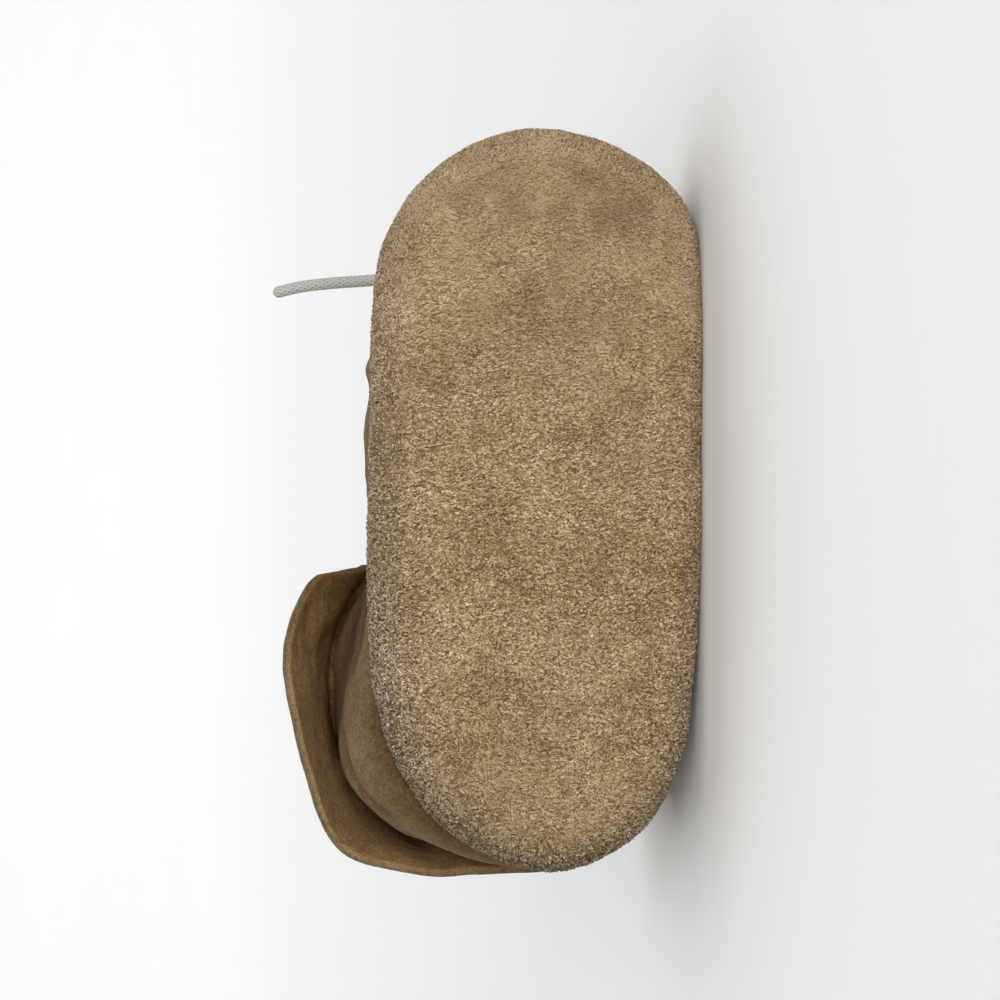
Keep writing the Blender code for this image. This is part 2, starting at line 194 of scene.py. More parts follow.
# One station for each twentieth of the sole's edge, from the heel round the outer side, the toe
# and the inner side. edge: the sole's outline, as shares of half its length and half its width.
# top: where the upper ends above that station, in millimetres, at the collar, the throat or the
# apron seam. roundness: 1 is a straight wall, 2 an elliptic one. bulge: how far the wall swells.
Station = namedtuple("Station", "edge_x edge_y top_x top_y top_z roundness bulge")
STATIONS = [
    Station(-1.000, 0.11, -57.0, -4.0, 50.0, 1.5, 1.0),
    Station(-0.925, -0.41, -54.0, -16.0, 50.0, 1.5, 4.5),
    Station(-0.743, -0.77, -43.5, -24.5, 50.0, 1.4, 6.8),
    Station(-0.510, -0.94, -30.0, -27.0, 50.0, 1.3, 3.5),
    Station(-0.261, -0.98, -17.0, -23.5, 50.0, 1.2, 1.0),
    Station(-0.012, -0.99, -6.0, -13.5, 49.0, 1.25, 0.5),
    Station(0.237, -0.98, 4.5, -14.0, 40.5, 1.8, 0.3),
    Station(0.485, -0.96, 15.0, -15.8, 33.2, 2.0, 0.0),
    Station(0.729, -0.86, 27.0, -15.2, 29.8, 2.0, 0.0),
    Station(0.920, -0.52, 37.5, -10.2, 26.3, 2.0, 0.0),
    Station(1.000, -0.03, 42.0, 0.0, 24.5, 2.0, 0.0),
    Station(0.948, 0.49, 37.5, 10.2, 26.3, 2.0, 0.0),
    Station(0.790, 0.90, 27.0, 15.0, 29.8, 2.0, 0.5),
    Station(0.551, 1.00, 15.0, 15.0, 33.2, 2.0, 1.0),
    Station(0.303, 0.995, 4.5, 8.5, 40.5, 1.8, 1.0),
    Station(0.054, 0.985, -6.0, 5.5, 49.0, 1.2, 1.0),
    Station(-0.195, 0.97, -17.0, 13.5, 50.0, 1.1, 0.0),
    Station(-0.443, 0.94, -30.0, 17.0, 50.0, 1.15, 0.0),
    Station(-0.689, 0.865, -43.5, 14.5, 50.0, 1.2, 1.0),
    Station(-0.897, 0.60, -54.0, 7.0, 50.0, 1.3, 1.5),
]

# Where the sole's leather lies further inside its outline, or stands out of it, round a station.
# inset is in millimetres, width in stations.
SoleFit = namedtuple("SoleFit", "station width inset")
SOLE_FIT = [
    SoleFit(5.5, 2.6, 0.7),
    SoleFit(10.0, 1.0, -0.6),
    SoleFit(11.4, 0.8, -1.2),
    SoleFit(19.0, 1.3, -0.9),
]

# The cuff's free edge, from the inner front corner round the heel to the outer front corner, in
# millimetres.
RimPoint = namedtuple("RimPoint", "x y z")
CUFF_RIM = [
    RimPoint(-13.0, 27.5, 33.0),
    RimPoint(-24.5, 29.0, 28.0),
    RimPoint(-37.0, 29.0, 26.5),
    RimPoint(-51.0, 24.5, 26.0),
    RimPoint(-59.0, 12.0, 25.0),
    RimPoint(-60.8, -1.0, 25.0),
    RimPoint(-60.9, -15.0, 25.0),
    RimPoint(-56.6, -28.0, 26.0),
    RimPoint(-43.0, -34.0, 26.5),
    RimPoint(-26.0, -37.0, 27.6),
    RimPoint(-12.6, -34.0, 32.4),
]

# The tongue's sections from under the apron to its tip: its middle line, half its width and how
# far its sides fold down, in millimetres.
TongueRow = namedtuple("TongueRow", "x y z half_width fold")
TONGUE = [
    TongueRow(19.0, 0.0, 31.6, 11.0, 1.0),
    TongueRow(13.0, -0.4, 33.6, 12.0, 1.8),
    TongueRow(7.0, -1.6, 36.2, 12.5, 2.6),
    TongueRow(1.0, -2.9, 40.8, 12.0, 3.2),
    TongueRow(-4.5, -4.0, 46.2, 10.5, 3.6),
    TongueRow(-9.0, -4.4, 52.0, 9.6, 2.8),
    TongueRow(-11.0, -4.4, 57.5, 8.6, 1.6),
]

# The free lace end runs from the upper outer eyelet down over the apron and out past the toe's
# outer edge. Its route is in millimetres.
LACE_END_ROUTE = [
    (-1.36, -14.75, 44.83),
    (-0.8, -16.0, 46.0),
    (0.7, -17.9, 46.4),
    (3.9, -19.8, 44.0),
    (9.0, -20.5, 39.3),
    (15.0, -19.0, 35.2),
    (21.0, -16.5, 33.2),
    (26.4, -14.0, 31.7),
    (31.0, -13.2, 30.7),
    (34.4, -15.2, 30.1),
    (35.9, -19.3, 30.1),
    (35.7, -24.4, 30.5),
    (35.3, -29.4, 30.9),
    (34.7, -34.0, 31.0),
    (33.6, -38.4, 31.0),
]

# The rest of the lace, from its stub at the upper inner eyelet to where the free end begins. It
# dives through an eyelet, runs under the throat's edge, crosses the tongue and comes up again.
LACE_ROUTE = [
    (0.3, 11.6, 46.6),
    (-0.1, 10.4, 45.2),
    (-0.4, 9.3, 43.5),
    (-1.0, 7.9, 41.9),
    (-2.0, 6.0, 42.6),
    (-2.2, 3.6, 44.6),
    (-0.2, -0.8, 45.0),
    (2.6, -6.6, 43.0),
    (5.0, -11.6, 39.4),
    (6.6, -14.4, 36.2),
    (7.9, -16.5, 35.6),
    (8.7, -17.4, 37.3),
    (9.3, -17.9, 39.0),
    (10.0, -16.6, 40.4),
    (9.7, -11.5, 41.5),
    (8.6, -2.2, 42.4),
    (9.8, 7.0, 41.6),
    (10.9, 12.6, 40.8),
    (10.4, 14.8, 39.2),
    (9.8, 14.2, 37.4),
    (8.8, 13.0, 35.6),
    (7.2, 10.6, 36.0),
    (5.2, 7.4, 39.2),
    (3.2, 2.2, 43.6),
    (0.4, -3.6, 46.2),
    (-2.0, -9.6, 45.2),
    (-2.9, -11.6, 43.0),
    (-2.3, -12.8, 42.9),
    (-1.84, -13.72, 43.85),
    (-1.36, -14.75, 44.83),
]

# Where the upper's wall swells or sinks besides its creases, round a station and a share of its
# height. height is in millimetres.
Swell = namedtuple("Swell", "height station width share reach")
UPPER_SWELLS = [
    Swell(1.1, 6.5, 0.14, 0.14, 0.1),
    Swell(0.5, 5.6, 0.45, 0.2, 0.2),
    Swell(-1.3, 6.2, 1.3, 0.3, 0.35),
    Swell(-1.0, 8.4, 1.2, 0.15, 0.3),
    Swell(1.2, 11.4, 0.8, 0.0, 0.35),
    Swell(-1.7, 1.0, 0.6, 0.3, 0.2),
    Swell(-3.2, 3.9, 1.15, 0.42, 0.38),
]

# Creases of upper, apron and cuff, each a soft trough with low ridges beside it, in
# millimetres.
Crease = namedtuple("Crease", "x1 y1 z1 x2 y2 z2 depth width")
UPPER_CREASES = [
    Crease(-3.0, -17.0, 43.0, -15.0, -26.0, 19.0, 2.0, 2.2),
    Crease(4.0, -18.0, 38.0, -6.0, -26.0, 14.0, 1.4, 1.9),
    Crease(13.0, -20.0, 31.0, 6.0, -26.0, 14.0, 1.0, 1.7),
    Crease(-9.0, -20.0, 40.0, -26.0, -29.0, 22.0, 1.2, 2.4),
    Crease(-2.0, 10.0, 44.0, -15.0, 25.0, 20.0, 1.8, 2.2),
    Crease(6.0, 13.0, 39.0, -6.0, 26.0, 16.0, 1.3, 1.9),
    Crease(15.0, 18.0, 31.0, 7.0, 26.0, 14.0, 0.9, 1.7),
    Crease(-52.0, -22.0, 14.0, -36.0, -31.0, 22.0, 0.9, 2.2),
    Crease(-59.0, -6.0, 24.0, -55.0, -20.0, 17.0, 0.8, 2.0),
    Crease(-56.0, 4.0, 15.0, -57.0, -12.0, 12.0, 0.5, 1.8),
    Crease(-48.0, 18.0, 30.0, -34.0, 22.0, 20.0, 0.9, 2.4),
]
APRON_CREASES = [
    Crease(12.0, -9.0, 36.0, 15.0, 9.0, 36.5, 0.9, 1.8),
    Crease(18.5, -6.0, 35.0, 21.0, 9.0, 35.0, 0.5, 1.6),
    Crease(33.0, -7.0, 29.5, 28.0, 4.0, 32.5, 0.4, 1.8),
]
CUFF_CREASES = [
    Crease(-15.0, -26.0, 50.0, -20.0, -33.0, 38.0, 1.1, 2.4),
    Crease(-33.0, -31.0, 50.0, -32.0, -36.0, 34.0, 0.8, 2.8),
    Crease(-45.0, -28.0, 51.0, -50.0, -30.5, 37.0, 1.1, 2.6),
    Crease(-57.0, -12.0, 50.0, -61.0, -8.0, 27.0, 1.0, 2.6),
    Crease(-55.0, 8.0, 51.0, -59.5, 13.0, 27.0, 1.3, 2.6),
    Crease(-36.0, 19.0, 51.0, -30.0, 25.0, 32.0, 0.9, 2.6),
    Crease(-15.0, 15.0, 50.0, -19.0, 26.0, 32.0, 1.0, 2.4),
]

# A round hole in a sheet: the grid's row and column in its middle, its place and direction.
Hole = namedtuple("Hole", "row column centre axis")

# The nap's three stretches: locks at the edge are shorter and wilder. The edge begins where the
# sole has turned up this far, and the heel's stretch ends here along the shoe.
NapBed = namedtuple("NapBed", "name length arch lift scatter seed")
NAP_BEDS = [
    NapBed("nap_forefoot", 1.0, 0.25, 0.3, 0.7, 11),
    NapBed("nap_heel", 1.0, 0.3, 0.4, 0.9, 37),
    NapBed("nap_edge", 0.95, 0.35, 0.9, 1.2, 23),
]
NAP_EDGE_RIM = 0.3
NAP_HEEL_END = 2.0 * MM

# Clumps of nap in a metre, along the shoe, through its height and across it.
CLUMP_PITCH = (1300.0, 1100.0, 680.0)

# Worn patches of the tread: centre and radius in millimetres, and how far worn.
Patch = namedtuple("Patch", "x y radius wear")
TREAD_WEAR = [
    Patch(48.0, -8.0, 9.0, 0.7),
    Patch(47.0, 10.0, 10.0, 0.8),
    Patch(44.0, 15.0, 5.0, 1.0),
    Patch(30.0, 2.0, 13.0, 0.45),
    Patch(20.0, -12.0, 9.0, 0.3),
    Patch(10.0, 14.0, 9.0, 0.25),
    Patch(-36.0, -2.0, 12.0, 0.15),
]

# The camera looks at a point this far over the sole's middle, and sees what lies between these
# distances.
CAMERA_AIM_RISE = 6.0 * MM
CAMERA_REACH = (0.01, 20.0)

# The studio's lamps: where each stands from the shoe and where it points, in metres, and its power
# in watts. The floor is paper that curves up into a backdrop.
Lamp = namedtuple("Lamp", "name offset aim width power")
LAMPS = [
    Lamp("key_light", (0.2, -1.0, 0.16), (0.0, 0.0, 0.0), 0.8, 9.0),
    Lamp("top_light", (0.0, 1.4, 1.5), (0.0, 1.5, 0.0), 2.2, 22.0),
]
SKY_STRENGTH = 0.48
PAPER_FRONT = -2.5
PAPER_BEND_START = 1.2
PAPER_BEND_RADIUS = 0.8
PAPER_BEND_STEPS = 12
PAPER_TOP = 3.0
PAPER_HALF_WIDTH = 3.0


# ---------------------------------------------------------------- the shoe's own shape


def laid(points):
    """Upright shoe coordinates as the frame's: the shoe lies on its inner side."""
    low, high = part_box("sole")
    x, y, z = np.moveaxis(np.asarray(points, dtype=float), -1, 0)
    return np.stack([x + high.x - SOLE_LENGTH / 2.0, z + low.y, FLOOR_REACH - y], axis=-1)


def turned(directions):
    """Upright directions as the frame's."""
    x, y, z = np.moveaxis(np.asarray(directions, dtype=float), -1, 0)
    return np.stack([x, z, -y], axis=-1)


def unit(vectors):
    """The same directions, one long."""
    return vectors / np.maximum(np.linalg.norm(vectors, axis=-1, keepdims=True), 1e-12)


def ramp(value, start, end):
    """How far a value has come on its way from start to end, from 0 to 1."""
    return np.clip((value - start) / (end - start), 0.0, 1.0)


def bump_at(value, middle, width):
    """A soft bump, one high at the middle."""
    return np.exp(-(((value - middle) / width) ** 2))


def from_station(stations, station):
    """How many stations away they are, the short way round."""
    return (stations - station + TOE) % (2 * TOE) - TOE


def between_rows(rows, positions, closed=False):
    """The rows' smooth values at positions counted in rows (a Catmull-Rom curve)."""
    table = np.array(rows, dtype=float)
    positions = np.asarray(positions, dtype=float)
    last = len(table) - 1
    first = np.floor(positions).astype(int)
    if not closed:
        first = np.clip(first, 0, last - 1)
    picks = [first + step for step in (-1, 0, 1, 2)]
    picks = [pick % len(table) if closed else np.clip(pick, 0, last) for pick in picks]
    before, start, end, after = (table[pick] for pick in picks)
    share = (positions - first)[..., None]
    curve = 2.0 * before - 5.0 * start + 4.0 * end - after
    twist = 3.0 * (start - end) + after - before
    return start + 0.5 * share * ((end - before) + share * (curve + share * twist))


def edge_point(stations):
    """The sole's outline, at its widest, above or below each station."""
    share = between_rows([(row.edge_x, row.edge_y) for row in STATIONS], stations, closed=True)
    return share * (SOLE_LENGTH / 2.0, SOLE_WIDTH / 2.0)


def edge_normal(stations):
    """The outline's own outward direction."""
    along = edge_point(stations + 0.05) - edge_point(stations - 0.05)
    return unit(np.stack([along[..., 1], -along[..., 0]], axis=-1))


def edge_outward(stations, tip=0.0):
    """The outline's outward direction, tipped up or, by a negative tip, down."""
    level = edge_normal(stations)
    return unit(np.concatenate([level, np.full((len(level), 1), tip)], axis=1))


def toe_spring(x):
    """How far the sole has lifted off its flat middle at x."""
    share = np.maximum(x - TOE_SPRING_START, 0.0) / (SOLE_LENGTH / 2.0 - TOE_SPRING_START)
    return TOE_SPRING * share * share


def pressed(points, reach=FLOOR_REACH):
    """Points moved onto the floor's plane where they would reach through it."""
    points = np.array(points)
    points[..., 1] = np.minimum(points[..., 1], reach)
    return points


def upper_points(stations, shares):
    """The upper's outer surface: 0 on the sole's rim, 1 at the collar, throat or apron seam."""
    stations, shares = np.broadcast_arrays(np.asarray(stations, float), np.asarray(shares, float))
    row = Station(*np.moveaxis(between_rows(STATIONS, stations, closed=True), -1, 0))
    outline = edge_point(stations) - edge_normal(stations) * UPPER_INSET
    foot = SOLE_RIM_HEIGHT + GAP + toe_spring(outline[..., 0]) + UPPER_BAND
    base = np.stack([outline[..., 0], outline[..., 1], foot], axis=-1)
    top = np.stack([row.top_x, row.top_y, row.top_z], axis=-1) * MM
    turn = np.clip(shares, 0.0, 1.0) * math.pi / 2.0
    across = 1.0 - np.cos(turn) ** (2.0 / row.roundness)
    rise = np.sin(turn) ** (2.0 / row.roundness)
    points = base + (top - base) * np.stack([across, across, rise], axis=-1)
    swell = row.bulge * MM * np.sin(math.pi * rise**0.6)
    points[..., :2] += edge_normal(stations) * swell[..., None]
    points[..., 2] -= UPPER_BAND * ramp(shares, 0.02, 0.0)
    return pressed(points)


def upper_normals(stations, shares):
    """The upper's outward directions."""
    step = 0.02
    stations = np.asarray(stations, float)
    shares = np.clip(np.asarray(shares, float), step, 1.0 - step)
    around = upper_points(stations + step, shares) - upper_points(stations - step, shares)
    up = upper_points(stations, shares + step) - upper_points(stations, shares - step)
    return unit(np.cross(around, up))


def upper_at(stations, heights):
    """The upper's outer surface above each station, at a height over the sole's bottom."""
    low = np.full(np.shape(heights), 0.01)
    high = np.ones(np.shape(heights))
    for _ in range(24):
        middle = (low + high) / 2.0
        under = upper_points(stations, middle)[..., 2] < heights
        low = np.where(under, middle, low)
        high = np.where(under, high, middle)
    return upper_points(stations, high)


def nap_room(stations):
    """How far the sole's leather stays inside its outline, for the nap that covers it."""
    room = NAP_DEPTH
    for fit in SOLE_FIT:
        room = room + fit.inset * MM * bump_at(from_station(stations, fit.station), 0.0, fit.width)
    return room[..., None]


def around_shoe(count):
    """Evenly spaced stations, once round the shoe."""
    return np.arange(count) * len(STATIONS) / count


def sole_ring(stations, share, inset, height):
    """A ring of the sole: share draws it in to the middle line, inset narrows it evenly."""
    outline = edge_point(stations) - edge_normal(stations) * inset
    middle = np.clip(outline[:, 0], MIDDLE_BACK, MIDDLE_FRONT)
    x = middle + (outline[:, 0] - middle) * share
    return pressed(np.stack([x, outline[:, 1] * share, height + toe_spring(x)], axis=-1))


def rough(points, size, seed):
    """Smooth noise from about -1 to 1 over points, with bumps about a size wide."""
    flat = points.reshape(-1, 3) / size + seed * NOISE_SHIFT
    values = [noise.noise(Vector(point)) for point in flat]
    return np.array(values).reshape(points.shape[:-1]) * NOISE_GAIN


def dented(points, *dents):
    """Soft dents in leather. Each has its size and its depth in millimetres, and a seed."""
    return sum(rough(points, size * MM, seed) * depth * MM for size, depth, seed in dents)


def crease_relief(points, creases):
    """How far the listed creases move a surface: a trough between two low ridges."""
    relief = np.zeros(points.shape[:-1])
    for crease in creases:
        start = np.array([crease.x1, crease.y1, crease.z1]) * MM
        end = np.array([crease.x2, crease.y2, crease.z2]) * MM
        along = end - start
        share = np.clip(((points - start) @ along) / (along @ along), 0.0, 1.0)
        away = np.linalg.norm(points - start - share[..., None] * along, axis=-1)
        reach = away / (crease.width * MM)
        fade = np.sqrt(np.sin(math.pi * np.clip(0.06 + 0.88 * share, 0.0, 1.0)))
        relief -= crease.depth * MM * fade * (1.0 - 0.55 * reach**2) * np.exp(-0.5 * reach**2)
    return relief


# ---------------------------------------------------------------- meshes


def grid_normals(grid, facing, closed):
    """Outward directions of a grid whose columns run round and whose rows climb."""
    if closed:
        around = np.roll(grid, -1, axis=1) - np.roll(grid, 1, axis=1)
    else:
        around = np.gradient(grid, axis=1)
    return unit(np.cross(around, np.gradient(grid, axis=0))) * facing


def raised(grid, relief, facing=1, closed=False):
    """A grid with its relief: each point moved outwards by so much."""
    return grid + grid_normals(grid, facing, closed) * relief[..., None]


def evened(field, closed):
    """A grid's values, each blended with its neighbours along the rows and the columns."""
    for _ in range(EVENING_ROUNDS):
        before, after = np.roll(field, 1, axis=1), np.roll(field, -1, axis=1)
        if not closed:
            before[:, 0], after[:, -1] = field[:, 0], field[:, -1]
        field = 0.5 * field + 0.25 * (before + after)
        below = np.concatenate([field[:1], field[:-1]])
        above = np.concatenate([field[1:], field[-1:]])
        field = 0.5 * field + 0.25 * (below + above)
    return field


def with_round_edge(layers, axis, end, half):
    """Adds rows or columns past one edge, where the sheet thins to nothing on a half circle."""
    points, normals, thickness, values = layers
    last, before = (-1, -2) if end else (0, 1)
    edge = np.take(points, last, axis=axis)
    outward = unit(edge - np.take(points, before, axis=axis))
    edge_values = {name: np.take(value, last, axis=axis) for name, value in values.items()}
    edge_thickness = np.take(thickness, last, axis=axis)
    turns = [math.radians(angle) for angle in ROUND_EDGE_ANGLES]
    rows = [edge + outward * (half * math.sin(turn)) * edge_thickness[:, None] for turn in turns]
    thin = [edge_thickness * math.cos(turn) for turn in turns[:-1]] + [edge_thickness * 0.0]
    across = [np.take(normals, last, axis=axis)] * len(turns)
    order = slice(None) if end else slice(None, None, -1)

    def extended(body, extra):
        extra = np.stack(extra[order], axis=axis)
        return np.concatenate([body, extra] if end else [extra, body], axis=axis)

    values = {name: extended(value, [edge_values[name]] * len(turns)) for name, value in values.items()}
    return extended(points, rows), extended(normals, across), extended(thickness, thin), values


def strips(index):
    """The quads between a grid of indices' rows, with the last column joined to the first."""
    after = np.roll(index, -1, axis=1)
    return np.stack([index[:-1], after[:-1], after[1:], index[1:]], axis=-1)


def sheet(name, grid, wall, facing=1, closed=False, zipped=False, values=None, holes=()):
    """A closed sheet of leather behind a grid of surface points, its free edges rounded.

    zipped closes a ring's first row along its middle line. values are numbers stored for each
    point, with "edge" added, which is 1 where the leather is cut. holes are laced round holes.
    """
    half = wall / 2.0
    normals = unit(evened(grid_normals(grid, facing, closed), closed))
    layers = (grid - normals * half, normals, np.ones(grid.shape[:2]), dict(values or {}))
    for axis, end in ((0, 0), (0, 1), (1, 0), (1, 1)):
        if (axis == 1 and closed) or (zipped and axis == 0 and end == 0):
            continue
        layers = with_round_edge(layers, axis, end, half)
    middle, normals, thickness, values = layers
    offset = normals * (half * thickness)[..., None]
    outer = pressed(middle + offset, FLOOR_REACH - FLOOR_CLEARANCE)
    inner = pressed(middle - offset, FLOOR_REACH - FLOOR_CLEARANCE - wall * PRESSED_WALL)
    inner = np.where(thickness[..., None] > 0.0, inner, outer)
    points = np.concatenate([outer.reshape(-1, 3), inner.reshape(-1, 3)])

    outer_index = np.arange(thickness.size).reshape(thickness.shape)
    inner_index = np.where(thickness > 0.0, outer_index + thickness.size, outer_index)
    kept = kept_quads(thickness.shape, closed, holes)
    faces = side_faces(outer_index, kept, zipped, facing)
    lining = side_faces(inner_index, kept, zipped, -facing)
    sides = [0] * len(faces) + [1] * len(lining)
    faces += lining
    for hole in holes:
        extra, quads = lined_hole(points, outer_index, inner_index, hole, wall)
        points = np.concatenate([points, extra])
        faces += quads
        sides += [0] * len(quads)

    mesh = bpy.data.meshes.new(name)
    mesh.from_pydata(laid(points), [], faces)
    mesh.polygons.foreach_set("material_index", sides)
    store_values(mesh, values | {"edge": bump_at(thickness, 0.0, 0.8)})
    remove_loose(mesh)
    mesh.shade_smooth()
    return mesh


def kept_quads(shape, closed, holes):
    """Which quads of a grid are drawn: all but those inside its holes."""
    rows, columns = shape
    kept = np.ones((rows - 1, columns), bool)
    kept[:, -1] = closed
    span = np.arange(-HOLE_REACH, HOLE_REACH)
    for hole in holes:
        kept[np.ix_(hole.row + span, (hole.column + span) % columns)] = False
    return kept


def side_faces(index, kept, zipped, facing):
    """One side of a sheet. Its faces turn the other way when it faces -1."""
    faces = strips(index)[kept].tolist()
    if zipped:
        half = index.shape[1] // 2
        left = index[0, 1:half]
        right = index[0, :half:-1]
        seam = np.stack([left[:-1], right[:-1], right[1:], left[1:]], axis=-1)
        ends = [[index[0, 0], right[0], left[0]], [left[-1], right[-1], index[0, half]]]
        faces = ends + faces + seam.tolist()
    return faces if facing > 0 else [face[::-1] for face in faces]


def store_values(mesh, values):
    """Numbers or vectors for the points of a sheet's two sides, and halfway ones in its holes."""
    for name, value in values.items():
        vector = value.ndim == 3
        both = np.concatenate([value.reshape(-1, 3 if vector else 1)] * 2)
        spare = np.full((len(mesh.vertices) - len(both), both.shape[1]), 0.5)
        flat = np.concatenate([both, spare]).ravel().astype(np.float32)
        layer = mesh.attributes.new(name, "FLOAT_VECTOR" if vector else "FLOAT", "POINT")
        layer.data.foreach_set("vector" if vector else "value", flat)


def remove_loose(mesh):
    """Deletes the points that no face holds."""
    form = bmesh.new()
    form.from_mesh(mesh)
    loose = [point for point in form.verts if not point.link_faces]
    bmesh.ops.delete(form, geom=loose, context="VERTS")
    form.to_mesh(mesh)
    form.free()


def block_loop(index, row, column):
    """The indices round a square block of a grid's points, anticlockwise from outside."""
    rows = row + np.arange(-HOLE_REACH, HOLE_REACH + 1)
    columns = (column + np.arange(-HOLE_REACH, HOLE_REACH + 1)) % index.shape[1]
    right = index[rows, columns[-1]][1:-1]
    left = index[rows, columns[0]][::-1][1:-1]
    return np.concatenate([index[rows[0], columns], right, index[rows[-1], columns][::-1], left])


def lined_hole(points, outer_index, inner_index, hole, wall):
    """The points and quads that draw both sides of a sheet in to a round hole, with a soft lip."""
    loops = [block_loop(index, hole.row, hole.column) for index in (outer_index, inner_index)]
    outer, inner = points[loops[0]], points[loops[1]]
    spread = outer - hole.centre
    circle = unit(spread - np.outer(spread @ hole.axis, hole.axis)) * EYELET_DIAMETER / 2.0
    above = hole.centre + circle
    below = above - hole.axis * wall
    rings = [outer + (above - outer) * share + hole.axis * lift * MM for share, lift in HOLE_LIP]
    rings += [inner + (below - inner) * share - hole.axis * lift * MM for share, lift in HOLE_LIP[::-1]]
    around = len(outer)
    index = len(points) + np.arange(len(rings) * around).reshape(len(rings), around)
    quads = strips(np.concatenate([[loops[0]], index, [loops[1]]]))
    return np.concatenate(rings), quads.reshape(-1, 4).tolist()


def run_along(points):
    """How far each point of a line lies from its start, along the line."""
    steps = np.linalg.norm(np.diff(points, axis=0), axis=1)
    return np.concatenate([[0.0], np.cumsum(steps)])


def smooth_path(route, step):
    """Points a step apart along a smooth curve through a route in millimetres."""
    fine = between_rows(route, np.linspace(0.0, len(route) - 1.0, ROUTE_STEPS * len(route))) * MM
    length = run_along(fine)
    places = np.linspace(0.0, length[-1], max(int(length[-1] / step), 2) + 1)
    return np.stack([np.interp(places, length, fine[:, axis]) for axis in range(3)], axis=-1)


def cord_tube(name, path, diameter, sides, start_cut=True, end_cut=True):
    """A round cord along a path, rounded where it is cut, with a map of its braid."""
    tangents = unit(np.gradient(path, axis=0))
    side = unit(np.cross(tangents[0], (0.0, 0.0, 1.0)))
    along = run_along(path)
    turns = np.linspace(0.0, 2.0 * math.pi, sides, endpoint=False)
    from_cut = np.minimum(along if start_cut else along[-1], along[-1] - along if end_cut else along[-1])
    tip = np.minimum(from_cut / (diameter / 2.0), 1.0)
    caps = np.maximum(np.sqrt(1.0 - (1.0 - tip) ** 2), CORD_TIP)
    rings = []
    for point, tangent, cap in zip(path, tangents, caps):
        side = unit(side - tangent * np.dot(side, tangent))
        over = np.cross(tangent, side)
        circle = np.outer(np.cos(turns), side) + np.outer(np.sin(turns), over)
        rings.append(point + circle * diameter / 2.0 * cap)
    rings = np.array(rings)
    index = np.arange(len(rings) * sides).reshape(len(rings), sides)
    quads = strips(index).reshape(-1, 4).tolist()
    ends = [index[0][::-1].tolist(), index[-1].tolist()]
    mesh = bpy.data.meshes.new(name)
    mesh.from_pydata(laid(rings.reshape(-1, 3)), [], quads + ends)
    turn, place = np.meshgrid(np.arange(sides) / sides, along[:-1])
    corners = [(0, 0), (1, 0), (1, 1), (0, 1)]
    step = along[1] - along[0]
    flow = [np.stack([turn + across / sides, place + ahead * step], axis=-1) for across, ahead in corners]
    flow = np.stack(flow, axis=2).reshape(-1, 2)
    flow = np.concatenate([flow, np.zeros((2 * sides, 2))])
    mesh.uv_layers.new(name="braid").data.foreach_set("uv", flow.ravel().astype(np.float32))
    mesh.shade_smooth()
    return mesh


def linked(name, data):
    """A new object in the scene."""
    thing = bpy.data.objects.new(name, data)
    bpy.context.scene.collection.objects.link(thing)
    return thing


def placed(name, mesh, finishes, replaced=()):
    """The mesh as a piece of the shoe that rides on its one body."""
    piece = linked(name, mesh)
    for finish in finishes:
        mesh.materials.append(finish)
    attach(piece, "root")
    if replaced:
        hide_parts(*replaced)
    return piece


# ---------------------------------------------------------------- node graphs


class Socket:
    """What a node gives. Arithmetic on it adds Math nodes to the same graph."""

    def __init__(self, graph, node, output):
        self.graph = graph
        self.node = node
        self.source = node.outputs[output]

    def output(self, name):
        return Socket(self.graph, self.node, name)

    def __add__(self, other):
        return self.graph.maths("ADD", self, other)

    def __radd__(self, other):
        return self.graph.maths("ADD", other, self)

    def __sub__(self, other):
        return self.graph.maths("SUBTRACT", self, other)

    def __rsub__(self, other):
        return self.graph.maths("SUBTRACT", other, self)

    def __mul__(self, other):
        return self.graph.maths("MULTIPLY", self, other)

    def __rmul__(self, other):
        return self.graph.maths("MULTIPLY", other, self)

    def __pow__(self, other):
        return self.graph.maths("POWER", self, other)

    def clamped(self):
        return self.graph.add("ShaderNodeClamp", None, {0: self})


